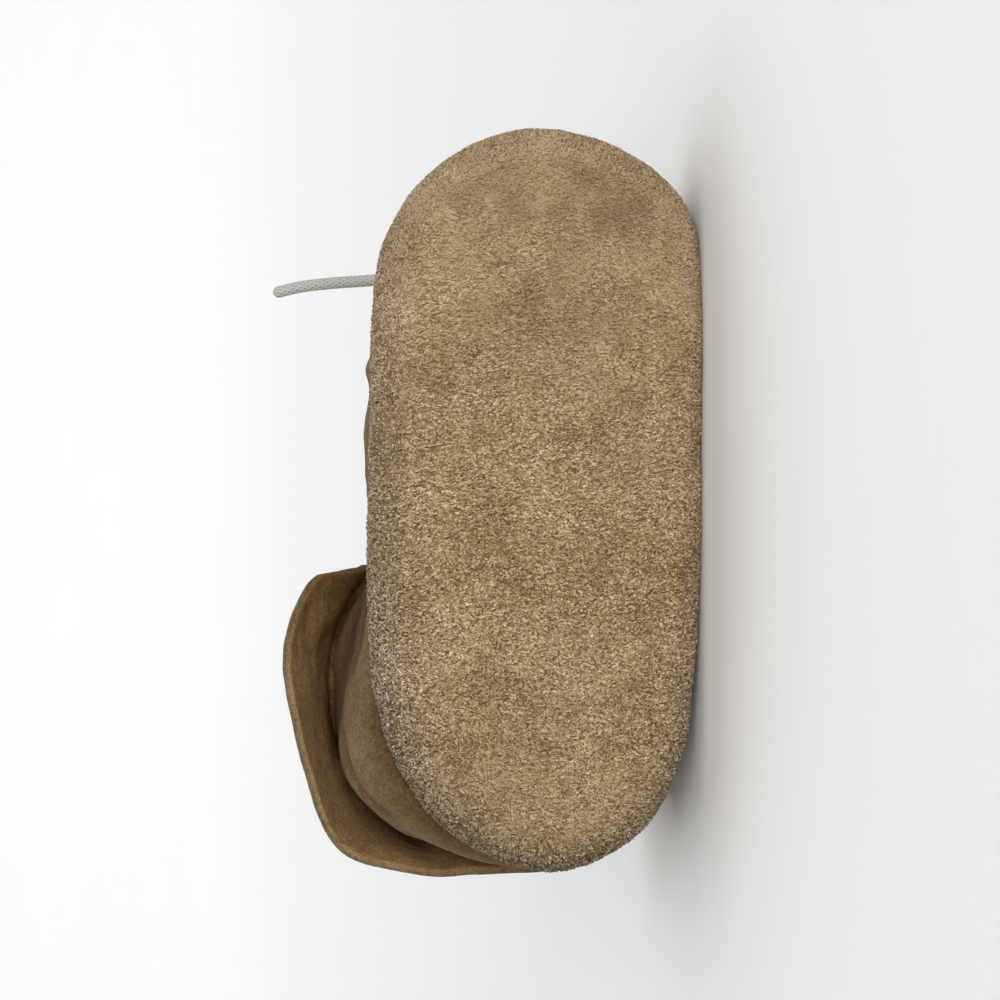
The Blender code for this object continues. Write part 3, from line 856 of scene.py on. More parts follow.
class Graph:
    """A node tree, shader or geometry, that is built by one call for each node."""

    def __init__(self, tree):
        self.tree = tree

    def add(self, kind, settings=None, inputs=None, output=0):
        """A new node with its settings and inputs. Gives one of its outputs."""
        node = self.tree.nodes.new(kind)
        for name, value in (settings or {}).items():
            setattr(node, name, value)
        for key, value in (inputs or {}).items():
            self.join(node.inputs[key], value)
        return Socket(self, node, output)

    def join(self, socket, value):
        """Links another node's output to an input, or sets its value."""
        if isinstance(value, Socket):
            self.tree.links.new(value.source, socket)
        elif socket.type == "RGBA" and len(value) == 3:
            socket.default_value = (*value, 1.0)
        else:
            socket.default_value = value

    def maths(self, operation, *values):
        return self.add("ShaderNodeMath", {"operation": operation}, dict(enumerate(values)))

    def vectors(self, operation, first, second):
        """Vector Math: second is the factor of a SCALE, or the other vector."""
        values = {0: first, "Scale" if operation == "SCALE" else 1: second}
        return self.add("ShaderNodeVectorMath", {"operation": operation}, values)

    def vector(self, x=0.0, y=0.0, z=0.0):
        return self.add("ShaderNodeCombineXYZ", None, {0: x, 1: y, 2: z})

    def noise(self, place, scale, detail=2.0, roughness=0.5, distortion=0.0):
        values = {"Vector": place, "Scale": scale, "Detail": detail}
        values |= {"Roughness": roughness, "Distortion": distortion}
        return self.add("ShaderNodeTexNoise", None, values)

    def attribute(self, name):
        return self.add("ShaderNodeAttribute", {"attribute_name": name}, None, "Fac")

    def blend(self, share, first, second, mode="MIX"):
        settings = {"data_type": "RGBA", "blend_type": mode}
        return self.add("ShaderNodeMix", settings, {0: share, 6: first, 7: second}, 2)

    def level(self, value, low, high, out_low=0.0, out_high=1.0):
        """A value from between low and high, brought between two others."""
        values = {0: value, 1: low, 2: high, 3: out_low, 4: out_high}
        return self.add("ShaderNodeMapRange", None, values)

    def shade(self, noise, dark, light):
        """Light and shade from a noise, whose values lie mostly between 0.3 and 0.7."""
        return self.level(noise, 0.3, 0.7, dark, light)

    def grey(self, value):
        return self.add("ShaderNodeCombineColor", None, {0: value, 1: value, 2: value})

    def leather_light(self, value):
        """Light and shade as leather takes it: yellower in its hollows, paler on its fibres."""
        return self.add("ShaderNodeCombineColor", None, {0: value, 1: value**1.12, 2: value**1.55})


class Finish(Graph):
    """A material that is being built, with its one Principled shader."""

    def __init__(self, name, roughness, sheen=0.0, gloss=0.25):
        self.material = bpy.data.materials.new(name)
        self.material.use_nodes = True
        super().__init__(self.material.node_tree)
        self.shader = self.tree.nodes["Principled BSDF"]
        self.shader.inputs["Roughness"].default_value = roughness
        self.shader.inputs["Specular IOR Level"].default_value = gloss
        self.shader.inputs["Sheen Weight"].default_value = sheen
        self.shader.inputs["Sheen Roughness"].default_value = 0.6
        self.place = self.add("ShaderNodeTexCoord", output="Object")

    def set(self, name, value):
        self.join(self.shader.inputs[name], value)

    def paint(self, colour, light):
        """Sets the colour, times its light and shade."""
        self.set("Base Color", self.blend(1.0, colour, light, "MULTIPLY"))

    def bump(self, height, distance):
        relief = self.add("ShaderNodeBump", None, {"Height": height, "Distance": distance})
        self.set("Normal", relief)


# ---------------------------------------------------------------- finishes


def tint(name):
    """A colour from the settings."""
    return tuple(getattr(bpy.context.scene.moccasin_colours, name))


def nap_clumps(graph, place):
    """How high the nap's clumps stand, from 0 in the winding cracks between them to 1."""
    swell = graph.noise(graph.vectors("MULTIPLY", place, CLUMP_PITCH), 1.0, 2.0, 0.55, 0.5) - 0.5
    return graph.level(graph.maths("ABSOLUTE", swell), 0.0, 0.065)


def paint_nap(finish, light):
    """The sole's tan, browner where it is worn, greyer at its edge and where dust lies in it, with
    painted shade in the cracks between its clumps, painted highlight on them, and painted shade where the
    dust lies.
    """
    patches = finish.shade(finish.noise(finish.place, 70.0, 3.0), 0.88, 1.12)
    drifts = finish.shade(finish.noise(finish.place, 260.0, 2.0), 0.88, 1.12)
    # Painted shade in the cracks between the nap's clumps, painted highlight on their tops.
    light = light * finish.level(nap_clumps(finish, finish.place), 0.0, 1.0, 0.54, 1.28)
    soil = finish.attribute("soil")
    contrast = 1.0 - finish.attribute("sleek") * 0.8 + soil * 0.7
    light = 1.0 + (light - 1.0) * contrast
    # Painted shade where the dust lies, darker towards the heel's edge.
    tone = patches * drifts * (1.0 - soil * 0.38)
    colour = finish.blend(finish.attribute("wear").clamped() * 0.75, tint("nap"), tint("worn"))
    colour = finish.blend(finish.attribute("rim").clamped() * 0.6, colour, tint("nap_edge"))
    colour = finish.blend(soil * 0.33, colour, tint("soil"))
    finish.paint(colour, finish.leather_light(tone * light))


def nap_ground():
    """The napped side of the split suede between its locks."""
    finish = Finish("nap_ground", 0.95, 0.0, 0.06)
    fine = finish.noise(finish.place, 3400.0, 3.0, 0.6, 0.6)
    paint_nap(finish, finish.level(fine, 0.35, 0.65, 0.5, 1.05))
    finish.bump(nap_clumps(finish, finish.place) * 0.6 + fine * 0.8, 0.4 * MM)
    return finish.material


def nap_lock():
    """The nap's locks: painted shade where they tuck in, painted highlight on their humps."""
    finish = Finish("nap_lock", 0.95, 0.05, 0.06)
    humps = finish.level(finish.attribute("hump"), 0.0, 1.0, 0.8, 1.07)
    paint_nap(finish, humps * finish.level(finish.attribute("tone"), 0.0, 1.0, 0.81, 1.19))
    return finish.material


def suede(name, colour, edge_colour, kept_colour=None, hollows="fold"):
    """Fine-napped suede, brushed into lighter and darker patches, with a pale cut edge.

    kept_colour is the fresher colour where another piece covers the leather. hollows names the
    attribute that says where painted shade darkens it: in its folds and hollows.
    """
    finish = Finish(name, 0.95, 0.03, 0.06)
    brushed = finish.noise(finish.place, 80.0, 3.0, 0.5, 0.6)
    mottle = finish.noise(finish.place, 560.0, 3.0, 0.6)
    grain = finish.noise(finish.place, 1900.0, 3.0, 0.65, 0.5)
    tone = finish.shade(brushed, 0.86, 1.14) * finish.shade(mottle, 0.86, 1.14)
    # Painted shade where the hollows attribute says the suede is folded in.
    tone = tone * finish.shade(grain, 0.66, 1.34) * (1.0 - finish.attribute(hollows) * 0.45)
    kept = finish.attribute("kept")
    base = finish.blend(kept, colour, kept_colour or colour)
    base = finish.blend(finish.attribute("edge").clamped() * 0.85 * (1.0 - kept), base, edge_colour)
    finish.paint(base, finish.leather_light(tone))
    finish.bump(grain * 0.7 + mottle * 0.3, 0.5 * MM)
    return finish.material


def fine_suede():
    """The outer side of upper, cuff, apron and tongue."""
    return suede("fine_suede", tint("suede"), tint("cut_edge"), tint("flesh"))


def cuff_flesh_side():
    """The cuff's side that faces the upper: its colour is made brighter to offset the shade it lies in,
    with painted shade in its fold and at its ends.
    """
    return suede("cuff_flesh_side", tint("flesh"), tint("cut_edge"), hollows="deep")


def grain_lining():
    """Smooth grain leather: fine pebbles, soft stains from wear."""
    finish = Finish("grain_lining", 0.62)
    stains = finish.noise(finish.place, 60.0, 3.0)
    settings = {"feature": "SMOOTH_F1"}
    pebbles = finish.add("ShaderNodeTexVoronoi", settings, {"Vector": finish.place, "Scale": 1500.0})
    fine = finish.noise(finish.place, 2400.0, 2.0)
    tone = finish.shade(stains, 0.84, 1.1) * finish.level(fine, 0.2, 0.8, 0.93, 1.05)
    finish.paint(tint("lining"), finish.grey(tone))
    finish.set("Roughness", finish.shade(stains, 0.52, 0.72))
    finish.bump(pebbles + fine * 0.3, 0.12 * MM)
    return finish.material


def cotton_tone(finish, fibre_shades, dust_shades):
    """Fine cotton fibres with dust between them: the fibres, and their light and shade."""
    fibres = finish.noise(finish.place, 5200.0, 3.0, 0.65)
    dust = finish.noise(finish.place, 180.0, 2.0)
    return fibres, finish.level(fibres, 0.25, 0.75, *fibre_shades) * finish.shade(dust, *dust_shades)


def sewing_thread():
    """Twisted cotton yarn, with fine fibres along it and dust in its hollows."""
    finish = Finish("sewing_thread", 0.85, 0.25)
    fibres, tone = cotton_tone(finish, (0.82, 1.08), (0.9, 1.05))
    finish.paint(tint("thread"), finish.grey(tone))
    finish.bump(fibres, 0.12 * MM)
    return finish.material


def lace_yarn():
    """Braided cotton cord: strands each way round, pressed flat where they cross, with painted shade
    between them.
    """
    finish = Finish("lace_yarn", 0.85, 0.1)
    flow = finish.add("ShaderNodeUVMap", {"uv_map": "braid"})
    flow = finish.add("ShaderNodeSeparateXYZ", None, {0: flow})
    around = flow.output("X") * (2.0 * math.pi * BRAID_STRANDS)
    run = flow.output("Y") * (2.0 * math.pi / bpy.context.scene.moccasin_lace.braid)
    right, left = (finish.maths("SINE", turn) for turn in (around + run, around - run))
    strands = finish.maths("MAXIMUM", right, left) * 0.5 + 0.5
    fibres, tone = cotton_tone(finish, (0.84, 1.06), (0.88, 1.04))
    # Painted shade in the grooves between the braid's strands.
    tone = tone * finish.level(strands, 0.0, 0.6, 0.68, 1.04)
    finish.paint(tint("lace"), finish.grey(tone))
    finish.bump(strands + fibres * 0.3, 0.16 * MM)
    return finish.material


def studio_paper(colour):
    """The pale floor, with the faintest mottle."""
    finish = Finish("studio_paper", 0.9)
    mottle = finish.noise(finish.place, 8.0, 2.0)
    finish.paint(colour, finish.grey(finish.level(mottle, 0.2, 0.8, 0.985, 1.0)))
    return finish.material


def shared(make):
    """A finish that several pieces share, named as the function that makes it."""
    return bpy.data.materials.get(make.__name__) or make()


# ---------------------------------------------------------------- geometry nodes


class Repeat(Graph):
    """A geometry node tree whose named inputs are a shape's sizes."""

    def __init__(self, name):
        super().__init__(bpy.data.node_groups.new(name, "GeometryNodeTree"))
        self.tree.interface.new_socket("Geometry", in_out="INPUT", socket_type="NodeSocketGeometry")
        self.tree.interface.new_socket("Geometry", in_out="OUTPUT", socket_type="NodeSocketGeometry")
        self.inputs = self.tree.nodes.new("NodeGroupInput")
        self.outputs = self.tree.nodes.new("NodeGroupOutput")

    def named(self, *names, kind="Float"):
        """New inputs of the tree, all of one kind."""
        for name in names:
            self.tree.interface.new_socket(name, in_out="INPUT", socket_type="NodeSocket" + kind)
        return [Socket(self, self.inputs, name) for name in names]

    def surface(self):
        """The mesh that the tree is given."""
        return Socket(self, self.inputs, "Geometry")

    def stored(self, name, kind="FLOAT"):
        """What a mesh has stored under a name."""
        return self.add("GeometryNodeInputNamedAttribute", {"data_type": kind}, {"Name": name})

    def store(self, shapes, name, value, domain="POINT"):
        values = {0: shapes, "Name": name, "Value": value}
        return self.add("GeometryNodeStoreNamedAttribute", {"domain": domain}, values)

    def random(self, low, high, seed):
        """A random number or vector for each point."""
        vector = isinstance(low, tuple)
        kind = "FLOAT_VECTOR" if vector else "FLOAT"
        first = 0 if vector else 2
        values = {first: low, first + 1: high, "Seed": seed}
        return self.add("FunctionNodeRandomValue", {"data_type": kind}, values, 0 if vector else 1)

    def stood(self, outward, heading, turn):
        """A rotation: Z outwards, X near the heading, then turned about its own axes."""
        upright = self.add("FunctionNodeAlignRotationToVector", {"axis": "Z"}, {"Vector": outward})
        settings = {"axis": "X", "pivot_axis": "Z"}
        values = {"Rotation": upright, "Vector": heading}
        facing = self.add("FunctionNodeAlignRotationToVector", settings, values)
        turn = self.add("FunctionNodeEulerToRotation", None, {0: turn})
        return self.add("FunctionNodeRotateRotation", {"rotation_space": "LOCAL"}, {0: facing, 1: turn})

    def repeated(self, points, shape, rotation, scale):
        values = {"Points": points, "Instance": shape, "Rotation": rotation, "Scale": scale}
        return self.add("GeometryNodeInstanceOnPoints", None, values)

    def moved(self, shapes, offset):
        return self.add("GeometryNodeSetPosition", None, {0: shapes, "Offset": offset})

    def realized(self, shapes):
        return self.add("GeometryNodeRealizeInstances", None, {0: shapes})

    def finished(self, shapes, finish):
        """The tree, complete: it gives the shapes as plain faces in their finish."""
        values = {"Geometry": self.realized(shapes), "Material": finish}
        painted = self.add("GeometryNodeSetMaterial", None, values)
        self.join(self.outputs.inputs["Geometry"], painted)
        return self.tree


def nap_tree():
    """Short crimped locks all over a surface, tucked in at both ends and combed along it."""
    tree = Repeat("Nap")
    density, length, width, arch = tree.named("Density", "Length", "Width", "Arch")
    lift, scatter, curl, clump = tree.named("Lift", "Scatter", "Curl", "Clump")
    (seed,) = tree.named("Seed", kind="Int")
    (finish,) = tree.named("Finish", kind="Material")

    # Each lock lies near the comb's direction, one end raised and the other in the leather.
    values = {"Mesh": tree.surface(), "Density": density * tree.stored("nap"), "Seed": seed}
    spots = tree.add("GeometryNodeDistributePointsOnFaces", {"distribute_method": "RANDOM"}, values)
    outward = spots.output("Normal")
    stray = tree.vectors("SCALE", tree.random((-1.0, -1.0, -1.0), (1.0, 1.0, 1.0), seed + 1), scatter)
    heading = tree.vectors("ADD", tree.stored("comb", "FLOAT_VECTOR"), stray)
    sleek = tree.stored("sleek")
    calm = 1.0 - sleek * 0.85
    rise = tree.random(-1.0, 0.15, seed + 2) * lift * calm
    lean = tree.vector(tree.random(-0.8, 0.8, seed + 3), rise)
    stood = tree.stood(outward, heading, lean)

    # A lock is a strip that is humped in its middle and narrow at both ends.
    strip = tree.add("GeometryNodeMeshGrid", None, {0: 1.0, 1: 1.0, 2: LOCK_POINTS, 3: 2})
    place = tree.add("GeometryNodeInputPosition")
    apart = tree.add("ShaderNodeSeparateXYZ", None, {0: place})
    along = apart.output("X") + 0.5
    hump = along * (1.0 - along) * 4.0
    across = apart.output("Y") * (hump * 0.85 + 0.15)
    shaped = tree.vector(along - 0.5, across, hump * arch - 0.04)
    lock = tree.store(strip, "hump", hump)
    lock = tree.add("GeometryNodeSetPosition", None, {0: lock, "Position": shaped})

    # The locks stand on clumps, differ in size and shade, and curl out of line.
    raised = tree.vectors("SCALE", outward, nap_clumps(tree, place) * clump * calm)
    long = tree.random(0.55, 1.4, seed + 4) * length
    size = tree.vector(long, tree.random(0.6, 1.4, seed + 5) * width, long)
    shapes = tree.repeated(tree.moved(spots, raised), lock, stood, size)
    shapes = tree.store(shapes, "tone", tree.random(0.0, 1.0, seed + 6), "INSTANCE")
    values = {"Vector": place, "Scale": 1.0 / CURL_LENGTH, "Detail": 1.0}
    wave = tree.vectors("SUBTRACT", tree.add("ShaderNodeTexNoise", None, values, 1), (0.5, 0.5, 0.5))
    swing = (tree.stored("hump") + 0.3) * curl * 4.0 * (1.0 - sleek * 0.6)
    curled = tree.moved(tree.realized(shapes), tree.vectors("SCALE", wave, swing))
    return tree.finished(curled, finish)


def stitch_tree():
    """Slanting whip stitches of round thread along a seam line, whose ends dive into the leather."""
    tree = Repeat("Whip stitches")
    pitch, thread, span, height = tree.named("Pitch", "Thread", "Span", "Height")
    depth, slant, stray = tree.named("Depth", "Slant", "Stray")
    (seed,) = tree.named("Seed", kind="Int")
    (finish,) = tree.named("Finish", kind="Material")

    line = tree.add("GeometryNodeMeshToCurve", None, {0: tree.surface()})
    spaced = tree.add("GeometryNodeResampleCurve", {"mode": "LENGTH"}, {"Curve": line, "Length": pitch})
    turn = tree.vector(z=slant + tree.random(-1.0, 1.0, seed) * stray)
    stood = tree.stood(tree.stored("out", "FLOAT_VECTOR"), tree.add("GeometryNodeInputTangent"), turn)

    # A stitch is a round thread on an arc, whose four handles lie under and over the leather.
    top = height * 0.67 + depth * 0.33
    ends = ((-0.5, depth * -1.0), (-0.52, top), (0.52, top), (0.5, depth * -1.0))
    bends = {step + 1: tree.vector(y=span * across, z=level) for step, (across, level) in enumerate(ends)}
    arc = tree.add("GeometryNodeCurvePrimitiveBezierSegment", None, {0: STITCH_POINTS} | bends)
    values = {"Resolution": STITCH_POINTS, "Radius": thread * 0.5}
    ring = tree.add("GeometryNodeCurvePrimitiveCircle", {"mode": "RADIUS"}, values)
    values = {"Curve": arc, "Profile Curve": ring, "Fill Caps": True}
    stitch = tree.add("GeometryNodeCurveToMesh", None, values)
    shapes = tree.repeated(spaced, stitch, stood, tree.random(0.88, 1.12, seed + 1))
    smooth = tree.add("GeometryNodeSetShadeSmooth", None, {0: tree.realized(shapes)})
    return tree.finished(smooth, finish)


def repeated(name, mesh, tree, sizes):
    """The plain mesh that a geometry node tree makes of another."""
    source = linked(name + "_source", mesh)
    modifier = source.modifiers.new(tree.name, "NODES")
    modifier.node_group = tree
    sockets = {item.name: item.identifier for item in tree.interface.items_tree if item.in_out == "INPUT"}
    for key, value in sizes.items():
        modifier[sockets[key]] = value
    depsgraph = bpy.context.evaluated_depsgraph_get()
    made = bpy.data.meshes.new_from_object(source.evaluated_get(depsgraph), depsgraph=depsgraph)
    source.modifiers.remove(modifier)
    bpy.data.objects.remove(source)
    made.name = name
    made.materials.clear()
    keep_above_floor(made)
    return made


def points_of(mesh):
    """A mesh's points, one to a row."""
    points = np.zeros(len(mesh.vertices) * 3, np.float32)
    mesh.vertices.foreach_get("co", points)
    return points.reshape(-1, 3)


def keep_above_floor(mesh):
    """Lifts whatever would reach through the floor."""
    points = points_of(mesh)
    points[:, 2] = np.maximum(points[:, 2], FLOOR_CLEARANCE / 2.0)
    mesh.vertices.foreach_set("co", points.ravel())


def seam_line(points, outward, closed=False):
    """A line of edges with the direction that faces out of the leather at each point."""
    mesh = bpy.data.meshes.new("seam_line")
    count = len(points)
    edges = [(index, (index + 1) % count) for index in range(count if closed else count - 1)]
    mesh.from_pydata(laid(points), edges, [])
    layer = mesh.attributes.new("out", "FLOAT_VECTOR", "POINT")
    layer.data.foreach_set("vector", turned(outward).ravel().astype(np.float32))
    return mesh


# ---------------------------------------------------------------- settings


def size(name, description, default):
    """A length that can be set."""
    return bpy.props.FloatProperty(
        name=name, description=description, default=default, unit="LENGTH", precision=5
    )


def colour(name, description, default):
    """A colour that can be set."""
    return bpy.props.FloatVectorProperty(
        name=name, description=description, default=default, subtype="COLOR", size=3, min=0.0, max=1.0
    )


class MoccasinColours(bpy.types.PropertyGroup):
    """The colours of leather, lace and thread."""

    nap: colour("Nap", "Napped split suede of the sole", (0.47, 0.327, 0.17))
    worn: colour("Worn nap", "Where the sole's nap is flattened and soiled", (0.28, 0.195, 0.11))
    nap_edge: colour("Nap at the edge", "Greyer, fuzzier nap round the sole's edge", (0.42, 0.335, 0.225))
    # The dust's grey; where it is blended in, the nap is also darkened as painted shade.
    soil: colour("Soil", "Grey dust in the nap round the heel", (0.38, 0.36, 0.34))
    suede: colour("Suede", "Fine-napped suede of upper, cuff, apron and tongue", (0.185, 0.12, 0.052))
    # The flesh side's paler colour, made brighter still to offset the shade it lies in: partly painted
    # light. It also tints the upper where the cuff covers it.
    flesh: colour("Flesh side", "The cuff's side that faces the upper", (0.45, 0.277, 0.11))
    cut_edge: colour("Cut edge", "The pale core that shows where the suede is cut", (0.165, 0.125, 0.08))
    lining: colour("Lining", "Smooth inner side of the leather", (0.3, 0.21, 0.115))
    lace: colour("Lace", "Off-white cotton cord", (0.57, 0.57, 0.525))
    thread: colour("Thread", "Thick off-white sewing thread", (0.5, 0.44, 0.35))


class MoccasinNap(bpy.types.PropertyGroup):
    """The nap of the sole's split suede."""

    length: size("Lock length", "Length of a lock of nap", 0.62 * MM)
    width: size("Lock width", "Width of a lock of nap", 0.22 * MM)
    curl: size("Curl", "How far the locks curl out of line", 0.16 * MM)
    clump: size("Clump height", "How high the nap stands between its cracks", 0.25 * MM)
    density: bpy.props.FloatProperty(
        name="Density", description="Locks of nap on a square millimetre", default=13.0, min=0.0
    )


class MoccasinSeams(bpy.types.PropertyGroup):
    """The hand and machine stitches."""

    pitch: size("Side pitch", "From stitch to stitch along the sole's side", 1.6 * MM)
    thread: size("Side thread", "Diameter of the fine thread", 0.42 * MM)
    heel_pitch: size("Heel pitch", "From stitch to stitch at the heel", 4.5 * MM)
    heel_thread: size("Heel thread", "Diameter of the thick thread", 0.95 * MM)
    apron_pitch: size("Apron pitch", "From stitch to stitch round the apron", 3.4 * MM)
    apron_thread: size("Apron thread", "Diameter of the apron's thread", 0.7 * MM)


class MoccasinLace(bpy.types.PropertyGroup):
    """The round cotton lace."""

    diameter: size("Diameter", "Thickness of the lace", LACE_DIAMETER)
    braid: size("Braid", "Length of the braid's repeat", 1.3 * MM)
    end_length: size("Free end", "Length of the free end past its eyelet", 69.0 * MM)


class MoccasinStage(bpy.types.PropertyGroup):
    """The floor, the light and the camera."""

    distance: size("Camera distance", "From the camera to the sole", 450.0 * MM)
    elevation: bpy.props.FloatProperty(
        name="Camera height", description="Angle of the camera over the floor",
        default=math.radians(10.0), subtype="ANGLE"
    )
    lens: bpy.props.FloatProperty(
        name="Lens", description="Focal length of the camera, in millimetres", default=105.0
    )
    floor: colour("Floor", "The pale paper that the shoe lies on", (0.9, 0.9, 0.895))


# ---------------------------------------------------------------- operators


class MakeStage(bpy.types.Operator):
    """Makes the floor, the light and the camera"""

    bl_idname = "moccasin.make_stage"
    bl_label = "Stage"

    def execute(self, context):
        scene = context.scene
        stage = scene.moccasin_stage
        low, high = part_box("sole")
        centre = Vector(((low.x + high.x) / 2.0, low.y, (low.z + high.z) / 2.0))
        self.make_floor(stage)
        self.make_camera(scene, stage, centre)
        self.make_lights(scene, centre)
        return {"FINISHED"}

    def make_floor(self, stage):
        """A sheet of paper that curves up into a backdrop far behind the shoe."""
        profile = [(PAPER_FRONT, 0.0), (PAPER_BEND_START, 0.0)]
        for step in range(1, PAPER_BEND_STEPS + 1):
            turn = math.radians(90.0 * step / PAPER_BEND_STEPS)
            y = PAPER_BEND_START + PAPER_BEND_RADIUS * math.sin(turn)
            profile.append((y, PAPER_BEND_RADIUS * (1.0 - math.cos(turn))))
        profile.append((PAPER_BEND_START + PAPER_BEND_RADIUS, PAPER_TOP))
        points = [(x, y, z) for y, z in profile for x in (-PAPER_HALF_WIDTH, PAPER_HALF_WIDTH)]
        faces = [(2 * k, 2 * k + 1, 2 * k + 3, 2 * k + 2) for k in range(len(profile) - 1)]
        mesh = bpy.data.meshes.new("floor")
        mesh.from_pydata(points, [], faces)
        mesh.shade_smooth()
        mesh.materials.append(studio_paper(tuple(stage.floor)))
        floor = linked("floor", mesh)

    def make_camera(self, scene, stage, centre):
        """Looks at the tread from a little above the floor, rolled so that the toe is up."""
        back = Vector((0.0, -math.cos(stage.elevation), math.sin(stage.elevation)))
        place = centre + back * stage.distance
        aim = centre + Vector((0.0, 0.0, CAMERA_AIM_RISE))
        back = (place - aim).normalized()
        right = Vector((1.0, 0.0, 0.0)).cross(back).normalized()
        axes = Matrix((right, back.cross(right), back)).transposed()
        camera = linked("camera", bpy.data.cameras.new("camera"))
        camera.data.lens = stage.lens
        camera.data.clip_start = CAMERA_REACH[0]
        camera.data.clip_end = CAMERA_REACH[1]
        camera.matrix_world = Matrix.Translation(place) @ axes.to_4x4()
        scene.camera = camera

    def make_lights(self, scene, centre):
        """Two wide soft lights and an even pale sky."""
        for lamp in LAMPS:
            data = bpy.data.lights.new(lamp.name, "AREA")
            data.size = lamp.width
            data.energy = lamp.power
            light = linked(lamp.name, data)
            light.location = centre + Vector(lamp.offset)
            towards = Vector(lamp.aim) - Vector(lamp.offset)
            light.rotation_euler = towards.to_track_quat("-Z", "Y").to_euler()
        world = bpy.data.worlds.new("studio")
        world.use_nodes = True
        sky = world.node_tree.nodes["Background"]
        sky.inputs["Color"].default_value = (1.0, 1.0, 1.0, 1.0)
        sky.inputs["Strength"].default_value = SKY_STRENGTH
        scene.world = world
        scene.view_settings.view_transform = "Standard"


class MakeLaceEnd(bpy.types.Operator):
    """Makes the free end of the lace, past the toe's outer edge"""

    bl_idname = "moccasin.make_lace_end"
    bl_label = "Free lace end"

    def execute(self, context):
        lace = context.scene.moccasin_lace
        path = smooth_path(LACE_END_ROUTE, step=0.25 * MM)
        mesh = cord_tube("lace_free_end", path, lace.diameter, sides=24, start_cut=False)
        piece = placed("lace_free_end", mesh, [shared(lace_yarn)], ["lace_end"])
        return {"FINISHED"}


class MakeSole(bpy.types.Operator):
    """Makes the sole: a tray of napped suede with a turned-up edge"""

    bl_idname = "moccasin.make_sole"
    bl_label = "Sole"

    def execute(self, context):
        finishes = [nap_ground(), shared(grain_lining)]
        placed("sole_leather", sole_mesh(), finishes, ["sole"])
        return {"FINISHED"}


def sole_mesh():
    """The sole's rings, from its middle line out over the tread, round the edge and up the rim."""
    stations = around_shoe(SOLE_COLUMNS)
    radius = (SOLE_EDGE_RADIUS - INNER_EDGE_TIGHTER * bump_at(stations, 14.8, 2.6))[:, None]
    tuck = nap_room(stations)
    shares = np.linspace(*TREAD_SHARES, TREAD_ROWS)
    rings = [sole_ring(stations, share, radius + tuck, 0.0) for share in shares]
    rims = [0.0] * TREAD_ROWS
    for angle in np.linspace(0.0, 90.0, EDGE_ROWS + 1)[1:]:
        turn = math.radians(angle)
        inset = radius * (1.0 - math.sin(turn))
        rings.append(sole_ring(stations, 1.0, inset + tuck, radius[:, 0] * (1.0 - math.cos(turn))))
        rims.append(0.25 + 0.75 * angle / 90.0)
    for height in np.linspace(radius[:, 0], SOLE_RIM_HEIGHT - 0.6 * MM, RIM_ROWS + 1)[1:]:
        rings.append(sole_ring(stations, 1.0, tuck, height))
        rims.append(1.0)
    grid = np.array(rings)
    rim = np.repeat(np.array(rims)[:, None], len(stations), axis=1)
    grid = raised(grid, dented(grid, (16.0, 0.22, 1), (4.0, 0.12, 2)), closed=True)
    near_edge = np.concatenate([0.35 * ramp(shares, 0.65, 1.0) ** 1.5, rims[TREAD_ROWS:]])[:, None]
    values = nap_lie(grid, rim) | nap_dirt(grid, rim, np.maximum(rim, near_edge))
    values["nap"] = 1.0 - 0.35 * values["wear"] + 0.25 * rim
    return sheet("sole_leather", grid, SOLE_WALL, closed=True, zipped=True, values=values)


def nap_lie(grid, rim):
    """How the sole's nap lies: combed across and outwards at the edge, flatter at toe and heel."""
    x, y = grid[..., 0], grid[..., 1]
    flat = 0.45 * ramp(x, 0.0, 25.0 * MM) + 0.5 * ramp(x, 25.0 * MM, 50.0 * MM)
    flat += 0.3 * ramp(x, -34.0 * MM, -42.0 * MM)
    inner_edge = np.clip((rim + 0.25) * 1.2, 0.0, 1.0) * ramp(y, 0.0, 8.0 * MM)
    inner_edge *= ramp(x, 18.0 * MM, 32.0 * MM)
    sleek = np.clip(np.maximum(flat, inner_edge) + 0.3 * rough(grid, 6.0 * MM, 6), 0.0, 1.0)
    heel = ramp(x, -20.0 * MM, -35.0 * MM)
    swirl = rough(grid, 7.0 * MM, 4) * 0.45 + rough(grid, 2.5 * MM, 5) * (0.3 + 0.9 * heel)
    outward = unit(np.gradient(grid, axis=0))
    across = np.stack([np.sin(swirl), np.cos(swirl), swirl * 0.0], axis=-1)
    comb = unit(across * (1.0 - 0.7 * rim[..., None]) + outward * rim[..., None])
    return {"rim": rim, "sleek": sleek, "comb": turned(comb)}


def nap_dirt(grid, rim, near_edge):
    """Where the nap is worn brown underfoot, and where dust greys it and painted shade darkens it, most
    at the heel's edge.
    """
    x, y = grid[..., 0], grid[..., 1]
    wear = np.zeros(x.shape)
    for patch in TREAD_WEAR:
        away = np.hypot(x - patch.x * MM, y - patch.y * MM)
        wear = np.maximum(wear, patch.wear * bump_at(away, 0.0, patch.radius * MM))
    wear = np.clip(wear * (1.0 + 0.5 * rough(grid, 5.0 * MM, 3)), 0.0, 1.0) * (1.0 - rim)
    wear += 0.4 * rim * ramp(y, 0.0, 8.0 * MM) * bump_at(x, 5.0 * MM, 24.0 * MM)
    ahead = 0.009 * (x + np.minimum(x, 0.0)) / MM
    soil = near_edge * np.clip(0.15 - ahead - 0.25 * y / (20.0 * MM), 0.0, 1.4)
    # More painted shade along the heel's lowest edge.
    soil += 0.3 * rim * ramp(x, -48.0 * MM, -54.0 * MM)
    return {"wear": wear, "soil": soil}


